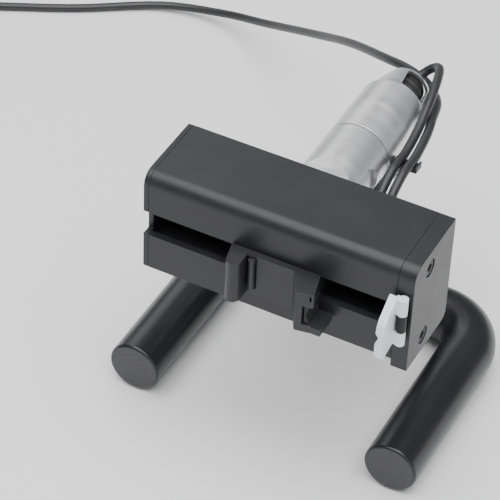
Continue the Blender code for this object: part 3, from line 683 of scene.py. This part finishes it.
def coil_points(step=7.5):
    """The coil's centre line from the end of the route to the start of the tail."""
    stations = coil_stations()
    first = math.degrees(math.atan2(ENTRY.y, ENTRY.x))
    last = math.degrees(math.atan2(LEAVE.y, LEAVE.x))
    way_out = last - first
    points = []
    for turn, (old, new) in enumerate(zip(stations, stations[1:])):
        leaving = turn == len(stations) - 2
        sweep, change = (way_out, way_out) if leaving else (360.0, COIL_STEP)
        for i in range(round(sweep / step)):
            angle = i * step
            share = ease(angle / change)
            radius = old[0] + (new[0] - old[0]) * share
            height = old[1] + (new[1] - old[1]) * share
            a = math.radians(first + angle)
            x, y = COIL_MIDDLE[0] + radius * math.cos(a), COIL_MIDDLE[1] + radius * math.sin(a)
            points.append(on_table(x, y, height))
    return points


print(len(coil_points()), "points in the coil")

# %% [markdown]
# ### One curve
# A curve with a round bevel stays an even tube round any bend, and its length can
# be added up from its points.

# %% The cable as one round curve


def build_cable():
    run = smooth_route([on_table(*p) for p in CORD_ROUTE], 6)
    tail = smooth_route([on_table(*p) for p in TAIL_ROUTE], 5)
    points = run[:-1] + coil_points() + tail
    data = bpy.data.curves.new("signal_cable", "CURVE")
    data.dimensions = "3D"
    data.bevel_depth = CORD_R * MM
    data.bevel_resolution = 5
    data.use_fill_caps = True
    line = data.splines.new("POLY")
    line.points.add(len(points) - 1)
    for spot, point in zip(line.points, points):
        spot.co = (*point, 1.0)
    data.materials.append(FINISHES["cable_jacket"])
    cable = work_object("signal_cable", data)
    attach(cable, "stand")
    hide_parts("cable", "cable_coil", "cable_tail")
    length = sum((b - a).length for a, b in zip(points, points[1:]))
    print(f"signal_cable: {len(points)} points, {length:.3f} m long")
    return cable


CABLE = build_cable()

# %% [markdown]
# ## Stage
# A pale bench and wide soft lights. Large lamps make the long soft gradients that
# tell the eye satin from gloss, and a bright surround keeps the shadows open.

# %% Bench


def build_bench():
    bench = shaped("bench", lambda form: bmesh.ops.create_grid(form, x_segments=1, y_segments=1, size=4.0))
    material = bpy.data.materials.new("bench_top")
    material.use_nodes = True
    shader = material.node_tree.nodes["Principled BSDF"]
    shader.inputs["Base Color"].default_value = (0.82, 0.82, 0.818, 1.0)
    shader.inputs["Roughness"].default_value = 0.55
    bench.data.materials.append(material)
    return bench


print("bench:", build_bench().name)

# %% [markdown]
# ### Lights
# The wide lamp overhead makes the soft shadows. The one at the back left is mirrored
# in the top of the head, and the one at the right opens up the end plate.

# %% Lights
LIT_SPOT = (0.0, 0.0, 0.05)
LAMPS = [
    ("overhead", (0.05, -0.25, 1.6), 2.2, 58.0),
    ("left_window", (-1.15, 1.15, 1.15), 1.1, 5.0),
    ("right_panel", (1.3, -1.0, 0.8), 1.2, 4.0),
]


def soft_light(name, spot, aim, size, power):
    data = bpy.data.lights.new(name, "AREA")
    data.shape = "DISK"
    data.size = size
    data.energy = power
    lamp = bpy.data.objects.new(name, data)
    bpy.context.scene.collection.objects.link(lamp)
    lamp.location = spot
    lamp.rotation_euler = (Vector(aim) - Vector(spot)).to_track_quat("-Z", "Y").to_euler()
    return lamp


def light_bench():
    for name, spot, size, power in LAMPS:
        soft_light(name, spot, LIT_SPOT, size, power)
    world = bpy.data.worlds.new("pale_room")
    world.use_nodes = True
    sky = world.node_tree.nodes["Background"]
    sky.inputs["Color"].default_value = (0.95, 0.96, 1.0, 1.0)
    sky.inputs["Strength"].default_value = 0.36
    bpy.context.scene.world = world


light_bench()
print("lamps:", ", ".join(f"{name} {power:.0f} W" for name, _, _, power in LAMPS))

# %% [markdown]
# ## The stand bar
# One round bar is bent into a U that lies on the bench. Its shape follows a rule,
# a path with rounded corners and a circle swept along it, so a small Geometry
# Nodes tree makes it: the corner radius and the bar's radius are its inputs.

# %% Helpers for Geometry Nodes trees


def new_tree(name, inputs):
    """A tree with geometry in and out and the named inputs, given as (label, kind, value)."""
    tree = bpy.data.node_groups.new(name, "GeometryNodeTree")
    tree.interface.new_socket("Geometry", in_out="INPUT", socket_type="NodeSocketGeometry")
    for label, kind, value in inputs:
        socket = tree.interface.new_socket(label, in_out="INPUT", socket_type=f"NodeSocket{kind}")
        if value is not None:
            socket.default_value = value
    tree.interface.new_socket("Geometry", in_out="OUTPUT", socket_type="NodeSocketGeometry")
    return tree, tree.nodes.new("NodeGroupInput"), tree.nodes.new("NodeGroupOutput")


def node_after(tree, kind, previous=None, mode=None, **values):
    """Adds a node in its mode, feeds it from the previous socket and sets its named inputs."""
    node = tree.nodes.new(kind)
    if mode:
        setattr(node, *mode)
    if previous is not None:
        tree.links.new(previous, node.inputs[0])
    for label, value in values.items():
        socket = node.inputs[label.replace("_", " ")]
        if isinstance(value, bpy.types.NodeSocket):
            tree.links.new(value, socket)
        else:
            socket.default_value = value
    return node


def grown(work, tree, **values):
    """Adds the tree to the working shape, with its inputs set by their identifiers."""
    step = work.modifiers.new(tree.name, "NODES")
    step.node_group = tree
    for item in tree.interface.items_tree:
        if item.in_out == "INPUT" and item.name in values:
            step[item.identifier] = values[item.name]
    return work


def lead_out(tree, geometry, start, end):
    """Turns copies into real mesh, gives it the finish and leads it out of the tree."""
    solid = node_after(tree, "GeometryNodeRealizeInstances", geometry)
    last = node_after(tree, "GeometryNodeSetMaterial", solid.outputs["Geometry"],
                      Material=start.outputs["Finish"])
    tree.links.new(last.outputs["Geometry"], end.inputs["Geometry"])
    return tree


print("helpers: an empty tree, a node, a tree as a modifier and a tree's last steps")

# %% [markdown]
# ### Bending a bar
# The path comes in as three straight edges. The tree rounds its corners and sweeps
# a circle along it, as a bender does with a straight bar.

# %% The tree that sweeps a round bar


def build_bar_tree():
    inputs = [("Bar Radius", "Float", 0.011), ("Bend Radius", "Float", 0.0187), ("Finish", "Material", None)]
    tree, start, end = new_tree("bent_round_bar", inputs)
    line = node_after(tree, "GeometryNodeMeshToCurve", start.outputs["Geometry"])
    bend = node_after(tree, "GeometryNodeFilletCurve", line.outputs["Curve"], ("mode", "POLY"),
                      Radius=start.outputs["Bend Radius"], Count=24)
    ring = node_after(tree, "GeometryNodeCurvePrimitiveCircle", Radius=start.outputs["Bar Radius"],
                      Resolution=72)
    sweep = node_after(tree, "GeometryNodeCurveToMesh", bend.outputs["Curve"], Fill_Caps=True,
                       Profile_Curve=ring.outputs["Curve"])
    return lead_out(tree, sweep.outputs["Mesh"], start, end)


BAR_TREE = build_bar_tree()
print("bar tree:", len(BAR_TREE.nodes), "nodes")

# %% [markdown]
# ### The bar itself
# The post stands in a flat seat milled into the bar, its bolt is sunk in from below,
# and each foot sits in a shallow well. Plain rods cut all of them.

# %% The bar, with its seat for the post and its foot holes
BAR_R = 11.0
BAR_Z = 11.6
LEG_X = 56.34
LEG_FRONT = -0.36
CROSS_Y = 90.2
BEND_R = 18.7
SEAT_Z = BAR_Z + 9.0
FOOT_PLACES = [(-LEG_X, 7.0), (LEG_X, 7.0), (-28.0, CROSS_Y), (28.0, CROSS_Y)]


def build_stand_bar():
    corners = [(-LEG_X, LEG_FRONT), (-LEG_X, CROSS_Y), (LEG_X, CROSS_Y), (LEG_X, LEG_FRONT)]
    work = grown(path("stand_bar", [on_table(x, y, BAR_Z) for x, y in corners]), BAR_TREE, **{
        "Bar Radius": BAR_R * MM, "Bend Radius": BEND_R * MM, "Finish": FINISHES["black_coated"]})
    weld = work.modifiers.new("weld_caps", "WELD")
    weld.merge_threshold = 0.00001
    rounded(work, 1.3, 60.0, 5)
    cut(work, rod("post_seat", on_table(0, CROSS_Y, SEAT_Z), on_table(0, CROSS_Y, 30), 8.6))
    cut(work, rod("bolt_well", on_table(0, CROSS_Y, -2), on_table(0, CROSS_Y, 7.5), 5.4))
    for x, y in FOOT_PLACES:
        cut(work, rod("foot_well", on_table(x, y, -1), on_table(x, y, 2.5), 5.3))
    return settle(work, "base_bar")


build_stand_bar()

# %% [markdown]
# ### Feet
# The feet are soft and round. A shallow ring below lets them grip the bench.

# %% Rubber feet, with a moulded ring on each


def build_feet():
    for i, (x, y) in enumerate(FOOT_PLACES):
        profile = [(0.0, 2.2), (4.6, 2.2), (5.0, 1.9), (5.0, 0.5), (4.7, 0.1), (4.5, 0.0), (3.6, 0.0),
                   (3.3, 0.25), (2.7, 0.25), (2.4, 0.0), (0.0, 0.0)]
        work = turned(f"rubber_foot_{i + 1}", profile, on_table(x, y, 0), (0, 0, 1), 48, closed=False)
        settle(work, f"foot_pad_{i + 1}")


build_feet()

# %% [markdown]
# ## Post and swivel tube
# Turned pieces are a profile spun round an axis. The post is saddled to the tube
# it carries; the sleeve in front of the seam turns with the head and has milled
# flats, one on top and one on each side, that end in the round of the cutter.

# %% Post
GAP = 0.3
POST_R = 8.0
BOLT_HOLE_R = 3.3


def build_post():
    seat, top = SEAT_Z + GAP, AXIS_Z - 6.0
    profile = [(POST_R, top), (POST_R, seat + 0.5), (POST_R - 0.5, seat), (BOLT_HOLE_R, seat),
               (BOLT_HOLE_R, top)]
    work = turned("support_post", profile, on_table(0, CROSS_Y, 0), (0, 0, 1), 96)
    cut(work, rod("saddle", place(0, CROSS_Y - 20, 0), place(0, CROSS_Y + 20, 0), TUBE_R + GAP, 128))
    spigot = rod("spigot", place(0, CROSS_Y, -24), place(0, CROSS_Y, -9.3), 3.0, 48)
    settle(cut(work, spigot, "UNION"), "post")


build_post()

# %% [markdown]
# ### Housing and cap
# The housing's edge at the seam is barely broken. The cap tapers to the cable, and
# its one window, turned to the right, shows the boot inside.

# %% Rear housing and its cap
SEAM_Y = 76.7
HOUSING_END = 109.0
CAP_END = 125.0
WINDOW_ANGLE = 38.0
TUBE_SIDES = 144
BEARING_R = 8.0
SOCKET_R = 11.0
SOCKET_Y = 100.5
CRADLE_SCREW_Y = 81.5
CRADLE_SCREW_Z = -5.4


def build_rear_housing():
    back, front = HOUSING_END, SEAM_Y + GAP
    profile = [
        (TUBE_R - 0.55, back), (TUBE_R - 0.15, back - 0.12), (TUBE_R, back - 0.5), (TUBE_R, front + 0.45),
        (TUBE_R - 0.12, front + 0.12), (TUBE_R - 0.45, front), (BEARING_R, front),
        (BEARING_R, SOCKET_Y), (SOCKET_R, SOCKET_Y), (SOCKET_R, back),
    ]
    work = turned("swivel_housing", profile, place(0, 0, 0), (0, 1, 0), TUBE_SIDES)
    cut(work, rod("stud_hole", place(0, CROSS_Y, -20), place(0, CROSS_Y, -9), BOLT_HOLE_R, 32))
    hole_start, hole_end = (place(x, CRADLE_SCREW_Y, CRADLE_SCREW_Z) for x in (8.6, 20))
    cut(work, rod("cradle_hole", hole_start, hole_end, 1.4, 32))
    return settle(work, "rear_housing")


def build_rear_cap():
    base = HOUSING_END + GAP
    profile = [
        (8.5, CAP_END), (9.05, CAP_END - 0.05), (9.3, CAP_END - 0.35), (13.05, base + 0.5),
        (13.0, base + 0.15), (12.8, base), (10.7, base), (10.7, 104.0), (9.5, 104.0),
        (9.5, 110.0), (8.1, CAP_END - 0.3),
    ]
    work = turned("tapered_cap", profile, place(0, 0, 0), (0, 1, 0), TUBE_SIDES)
    window = block("cap_window", (-5.8, 5.8), (110.4, 123.2), (5.0, 20.0))
    centre = place(0, 0, 0)
    swing = Matrix.Rotation(math.radians(WINDOW_ANGLE), 4, "Y")
    bpy.context.view_layer.update()
    about_axis = Matrix.Translation(centre) @ swing @ Matrix.Translation(-centre)
    window.matrix_world = about_axis @ window.matrix_world
    cut(work, rounded(window, 1.2, 30.0, 5))
    return settle(rounded(work, 0.12, 40.0, 2), "rear_cap")


build_rear_housing()
build_rear_cap()

# %% [markdown]
# ### Sleeve
# A round cutter milled the flats, so the shape that is taken away is a bar with a
# round end, swung about the axis to each side.

# %% Front sleeve with its milled flats
CHAMBER_R = 9.0
CHAMBER_START = 40.0
CHAMBER_END = 72.0
SPINDLE_R = 5.8
WIRE_R = 3.2
SLEEVE_SCREW_X = 6.0
SLEEVE_START = 35.6
TOP_FLAT = (10.5, 53.6, 12.8)
SIDE_FLAT = (11.8, 66.5, 8.0)


def mill_flat(work, turn, level, end, cutter_r):
    """Cuts a flat at this height over the axis, turned round it, with a round end."""
    middle = end - cutter_r
    outline = [(-cutter_r, 30.0), (cutter_r, 30.0)]
    outline += [(cutter_r * math.cos(a), middle + cutter_r * math.sin(a))
                for a in (math.radians(d) for d in range(0, 181, 5))]

    def build(form):
        floor = form.faces.new([form.verts.new((x * MM, y * MM, level * MM)) for x, y in outline])
        top = bmesh.ops.extrude_face_region(form, geom=[floor])["geom"]
        lift = [v for v in top if isinstance(v, bmesh.types.BMVert)]
        bmesh.ops.translate(form, verts=lift, vec=(0, 0, 10 * MM))
        bmesh.ops.recalc_face_normals(form, faces=form.faces)

    tool = shaped("milled_flat", build)
    tool.matrix_world = Matrix.Translation(place(0, 0, 0)) @ Matrix.Rotation(math.radians(turn), 4, "Y")
    return cut(work, tool)


def build_front_sleeve():
    start = SLEEVE_START
    profile = [
        (TUBE_R - 0.45, SEAM_Y), (TUBE_R - 0.12, SEAM_Y - 0.12), (TUBE_R, SEAM_Y - 0.45),
        (TUBE_R, start + 0.6), (TUBE_R - 0.6, start), (WIRE_R, start), (WIRE_R, CHAMBER_START),
        (CHAMBER_R, CHAMBER_START), (CHAMBER_R, CHAMBER_END), (SPINDLE_R, CHAMBER_END), (SPINDLE_R, SEAM_Y),
    ]
    work = turned("swivel_sleeve", profile, place(0, 0, 0), (0, 1, 0), TUBE_SIDES)
    for turn, flat in ((0.0, TOP_FLAT), (90.0, SIDE_FLAT), (-90.0, SIDE_FLAT)):
        mill_flat(work, turn, *flat)
    for side in (-1, 1):
        x = side * SLEEVE_SCREW_X
        cut(work, rod("screw_hole", place(x, 30, 0), place(x, 42, 0), 1.8, 32))
    return settle(rounded(work, 0.1, 20.0, 2), "front_sleeve")


build_front_sleeve()

# %% [markdown]
# ## Ribbed boots
# A rubber boot guides the cable out of the cap, and another guides it into the
# plug. The ribs are the same ring over and over, each a little smaller, so a tree
# places copies of one ring along a line and scales them down towards the cable.

# %% The tree that sets ribs along a taper


def build_rib_tree():
    inputs = [("Ribs", "Int", 5), ("Length", "Float", 0.018), ("Wide", "Float", 0.0074),
              ("Narrow", "Float", 0.0034), ("Finish", "Material", None)]
    tree, start, end = new_tree("ribs_on_a_taper", inputs)
    line = node_after(tree, "GeometryNodeMeshLine", mode=("mode", "END_POINTS"), Count=start.outputs["Ribs"])
    reach = node_after(tree, "ShaderNodeCombineXYZ", Z=start.outputs["Length"])
    tree.links.new(reach.outputs[0], line.inputs["Offset"])
    index = tree.nodes.new("GeometryNodeInputIndex")
    last_rib = node_after(tree, "ShaderNodeMath", start.outputs["Ribs"], ("operation", "SUBTRACT"))
    last_rib.inputs[1].default_value = 1.0
    size = node_after(tree, "ShaderNodeMapRange", index.outputs[0], From_Max=last_rib.outputs[0],
                      To_Min=start.outputs["Wide"], To_Max=start.outputs["Narrow"])
    ring = node_after(tree, "GeometryNodeCurvePrimitiveCircle", Radius=1.0, Resolution=56)
    section = node_after(tree, "GeometryNodeCurvePrimitiveCircle", Radius=0.22, Resolution=14)
    hoop = node_after(tree, "GeometryNodeCurveToMesh", ring.outputs["Curve"],
                      Profile_Curve=section.outputs["Curve"])
    copies = node_after(tree, "GeometryNodeInstanceOnPoints", line.outputs["Mesh"],
                        Instance=hoop.outputs["Mesh"], Scale=size.outputs["Result"])
    joined = node_after(tree, "GeometryNodeJoinGeometry", copies.outputs["Instances"])
    tree.links.new(start.outputs["Geometry"], joined.inputs[0])
    return lead_out(tree, joined.outputs["Geometry"], start, end)


RIB_TREE = build_rib_tree()
print("rib tree:", len(RIB_TREE.nodes), "nodes")

# %% [markdown]
# ### Two boots
# A turned core carries the ribs of the tree. One boot fills the cap, and the other
# tapers down to the cable.

# %% The boot in the cap and the boot on the plug
PLUG_ORIGIN = on_table(-291.0, 128.0, 8.3)
PLUG_WAY = (0, -1, 0)


def ribbed_boot(name, node, core, origin, way, ribs, length, wide, narrow):
    """A tapered core whose ribs start at origin and run away from it along way."""
    work = turned(name, core, origin, way, 56, closed=False)
    grown(work, RIB_TREE, Ribs=ribs, Length=length * MM, Wide=wide * MM, Narrow=narrow * MM,
          Finish=FINISHES["black_rubber"])
    return settle(work, node, smooth=50.0)


def build_boots():
    cap_core = [(0.0, 17.0), (2.6, 17.0), (5.0, 16.5), (6.3, 14.5), (7.9, -0.8), (9.1, -2.0), (9.1, -6.0),
                (0.0, -6.0)]
    ribbed_boot("cap_boot", "cable_boot", cap_core, place(0, 110, 0), (0, 1, 0), 5, 14.2, 7.3, 5.8)
    plug_core = [(0.0, 16.0), (2.5, 16.0), (2.7, 15.6), (4.6, 2.0), (6.2, 1.6), (6.2, 0.0), (0.0, 0.0)]
    back = PLUG_ORIGIN + Vector(PLUG_WAY) * 16.0 * MM
    ribbed_boot("plug_strain_relief", "plug_boot", plug_core, back, (0, 1, 0), 6, 11.6, 4.4, 2.5)


build_boots()

# %% [markdown]
# ## Screws
# Every screw here is a socket head screw, and only the sizes differ. One tree makes the
# head with its hexagon socket and the shank, and sets a copy on each point of a
# small cloud, turned along the way that is stored with the point.

# %% The tree that drives screws into points


def cylinder_between(tree, sides, radius, low, high):
    """A cylinder on +Z whose radius and two ends are sockets or numbers."""
    depth = node_after(tree, "ShaderNodeMath")
    middle = node_after(tree, "ShaderNodeMath")
    half = node_after(tree, "ShaderNodeMath", middle.outputs[0])
    for node, operation in ((depth, "SUBTRACT"), (middle, "ADD"), (half, "MULTIPLY")):
        node.operation = operation
    half.inputs[1].default_value = 0.5
    for node, values in ((depth, (high, low)), (middle, (high, low))):
        for socket, value in zip(node.inputs, values):
            if isinstance(value, bpy.types.NodeSocket):
                tree.links.new(value, socket)
            else:
                socket.default_value = value
    shape = node_after(tree, "GeometryNodeMeshCylinder", Vertices=sides, Radius=radius,
                       Depth=depth.outputs[0])
    lift = node_after(tree, "ShaderNodeCombineXYZ", Z=half.outputs[0])
    return node_after(tree, "GeometryNodeTransform", shape.outputs["Mesh"], Translation=lift.outputs[0])


def screw_shape(tree, sized):
    """One screw on +Z: a head bored with a hexagon, and a shank."""
    head = cylinder_between(tree, 48, sized["Head Radius"], 0.0, sized["Head Height"])
    hex_radius = node_after(tree, "ShaderNodeMath", sized["Head Radius"])
    hex_floor = node_after(tree, "ShaderNodeMath", sized["Head Height"])
    tip = node_after(tree, "ShaderNodeMath", sized["Head Height"])
    for node, operation, value in ((hex_radius, "MULTIPLY", 0.52), (hex_floor, "MULTIPLY", 0.6)):
        node.operation = operation
        node.inputs[1].default_value = value
    tree.links.new(sized["Length"], tip.inputs[1])
    hexagon = cylinder_between(tree, 6, hex_radius.outputs[0], -0.001, hex_floor.outputs[0])
    shank = cylinder_between(tree, 32, sized["Shank Radius"], sized["Head Height"], tip.outputs[0])
    bored = node_after(tree, "GeometryNodeMeshBoolean", mode=("operation", "DIFFERENCE"))
    tree.links.new(head.outputs["Geometry"], bored.inputs["Mesh 1"])
    tree.links.new(hexagon.outputs["Geometry"], bored.inputs["Mesh 2"])
    screw = node_after(tree, "GeometryNodeJoinGeometry", bored.outputs["Mesh"])
    tree.links.new(shank.outputs["Geometry"], screw.inputs[0])
    return screw


def build_screw_tree():
    inputs = [("Head Radius", "Float", 0.0034), ("Head Height", "Float", 0.0034),
              ("Shank Radius", "Float", 0.002), ("Length", "Float", 0.014), ("Finish", "Material", None)]
    tree, start, end = new_tree("socket_screws", inputs)
    screw = screw_shape(tree, start.outputs)
    aim = node_after(tree, "GeometryNodeInputNamedAttribute", mode=("data_type", "FLOAT_VECTOR"), Name="aim")
    turn = node_after(tree, "FunctionNodeAlignRotationToVector", mode=("axis", "Z"),
                      Vector=aim.outputs["Attribute"])
    copies = node_after(tree, "GeometryNodeInstanceOnPoints", start.outputs["Geometry"],
                        Instance=screw.outputs["Geometry"], Rotation=turn.outputs["Rotation"])
    return lead_out(tree, copies.outputs["Instances"], start, end)


SCREW_TREE = build_screw_tree()
print("screw tree:", len(SCREW_TREE.nodes), "nodes")

# %% [markdown]
# ### The screws
# A set is a few points and a way to face, so one tree serves the end plate, the left
# cover, the sleeve, the post and the cradle.

# %% Five sets of screws
HEAD_LEFT = -52.9
HEAD_RIGHT = 59.1
PLATE_SCREWS = [(13.9, 14.7), (13.3, -18.3)]
CAP_SCREWS = [(25.0, 14.0), (25.0, -14.0)]


def set_screws(name, heads, aim, sizes, *nodes):
    """Screws whose outer head faces sit on these points; sizes in mm as the tree names them."""
    mesh = bpy.data.meshes.new(name)
    mesh.from_pydata(heads, [], [])
    ways = mesh.attributes.new("aim", "FLOAT_VECTOR", "POINT")
    for entry in ways.data:
        entry.vector = aim
    labels = ("Head Radius", "Head Height", "Shank Radius", "Length")
    values = {label: size * MM for label, size in zip(labels, sizes)}
    work = grown(work_object(name, mesh), SCREW_TREE, **values, Finish=FINISHES[SLOT_OF[nodes[0]]])
    return settle(rounded(work, sizes[0] * 0.07, 40.0, 2), *nodes)


def build_screws():
    plate = [place(HEAD_RIGHT - 0.5, y, z) for y, z in PLATE_SCREWS]
    plate_sizes = (3.4, 3.4, 2.0, 14.0)
    set_screws("plate_screws", plate, (-1, 0, 0), plate_sizes, "end_plate_screw_1", "end_plate_screw_2")
    cap = [place(HEAD_LEFT - 0.2, y, z) for y, z in CAP_SCREWS]
    set_screws("cap_screws", cap, (1, 0, 0), (2.4, 1.2, 1.15, 9.0), "left_cap_screw_1", "left_cap_screw_2")
    sleeve = [place(x, 42.8, 0) for x in (-SLEEVE_SCREW_X, SLEEVE_SCREW_X)]
    set_screws("sleeve_screws", sleeve, (0, -1, 0), (2.6, 2.5, 1.5, 9.0), "sleeve_screw_1", "sleeve_screw_2")
    set_screws("stand_bolt", [on_table(0, CROSS_Y, 1.3)], (0, 0, 1), (5.0, 6.0, 3.0, 30.0), "post_bolt")
    cradle = [place(17.6, CRADLE_SCREW_Y, CRADLE_SCREW_Z)]
    set_screws("cradle_screw", cradle, (-1, 0, 0), (2.0, 1.6, 1.05, 6.2), "clip_screw")


build_screws()

# %% [markdown]
# ## The clamping head
# The head, its end plate and the jaw already have their true outlines in the
# frame. What a milled or moulded piece has besides is a small radius on every
# edge, which catches the light, so each gets a finer copy with rounded edges.

# %% Head block, end plate and left cap
for name, node, width, closer in (
    ("clamping_head", "head_block", 0.3, 0.0),
    ("right_end_plate", "end_plate", 0.35, -0.2),
    ("left_cover", "left_end_cap", 0.25, 0.2),
):
    work = refined(name, node, width)
    work.location.x += closer * MM
    settle(work, node)

# %% [markdown]
# ### Jaw
# The jaw is moulded, so its edges are rounder. Its catch is a rib of its own in the
# jaw's window, because it tilts when it is squeezed.

# %% Sliding jaw, its carriage, pad and release catch
for name, node, width in (
    ("sliding_jaw", "jaw_body", 0.45),
    ("jaw_slider", "jaw_carriage", 0.3),
    ("watch_pad", "jaw_pad", 0.3),
    ("finger_catch", "release_catch", 0.3),
):
    settle(refined(name, node, width), node)

# %% [markdown]
# ### Contact
# The contact is nylon so that it can't scratch a watch. The dark stem behind it
# leads the ticking to the sensor.

# %% White contact, its stem and the cradle for the cable
for name, node, width in (
    ("nylon_contact", "watch_contact", 0.45),
    ("contact_stem", "sensor_stem", 0.2),
    ("cable_cradle", "cable_clip", 0.3),
    ("coil_tie", "cable_tie", 0.25),
):
    settle(refined(name, node, width), node)

# %% [markdown]
# ### Rod and pin
# Both are ground steel with chamfered ends, so they are turned as well.

# %% Bright guide rod and contact pin
GUIDE_YZ = (8.5, 0.5)
HINGE_XY = (56.1, -2.4)


def build_pins():
    low, high = HEAD_LEFT + 1.2, 53.6
    profile = [(0.0, high), (1.2, high), (1.5, high - 0.3), (1.5, low + 0.3), (1.2, low), (0.0, low)]
    settle(turned("jaw_guide_rod", profile, place(0, *GUIDE_YZ), (1, 0, 0), 48, closed=False), "guide_rod")
    pin = [(0.0, 9.6), (0.6, 9.6), (0.8, 9.4), (0.8, -10.8), (0.6, -11.0), (0.0, -11.0)]
    settle(turned("hinge_pin", pin, place(*HINGE_XY, 0), (0, 0, 1), 32, closed=False), "contact_pin")


build_pins()

# %% [markdown]
# ## The plug
# The lead ends in a round five-pin plug: a moulded grip with flutes to hold it by,
# a bright shell and an insert that carries the pins.

# %% Fluted grip and shell


def build_plug():
    grip = [(0.0, 30.0), (7.3, 30.0), (7.6, 29.8), (8.1, 29.2), (8.1, 17.6), (7.8, 16.8), (7.2, 16.3),
            (0.0, 16.3)]
    work = turned("plug_handle", grip, PLUG_ORIGIN, PLUG_WAY, 72, closed=False)
    for i in range(12):
        a = math.tau * i / 12
        offset = Vector((8.9 * MM * math.cos(a), 0.0, 8.9 * MM * math.sin(a)))
        start = PLUG_ORIGIN + Vector(PLUG_WAY) * 18.6 * MM + offset
        cut(work, rod("flute", start, start + Vector(PLUG_WAY) * 9.4 * MM, 1.3, 20))
    settle(rounded(work, 0.15, 40.0, 2), "plug_grip")
    shell = [(6.3, 41.5), (6.7, 41.1), (6.7, 30.3), (5.7, 30.3), (5.7, 41.2), (5.9, 41.5)]
    settle(turned("plug_collar", shell, PLUG_ORIGIN, PLUG_WAY, 72), "plug_shell")
    settle(refined("pin_insert", "plug_insert", 0.12), "plug_insert")


build_plug()

# %% [markdown]
# ## Inner pieces
# The bearings, the washer and the little amplifier board sit inside the tube. The
# frame's own shapes serve for them, and they take the same finishes as the rest.

# %% Finishes on the frame's own pieces
for node, piece in frame["nodes"].items():
    piece.data.materials.clear()
    piece.data.materials.append(FINISHES[SLOT_OF[node]])
print(len(frame["nodes"]), "frame pieces have their finish")
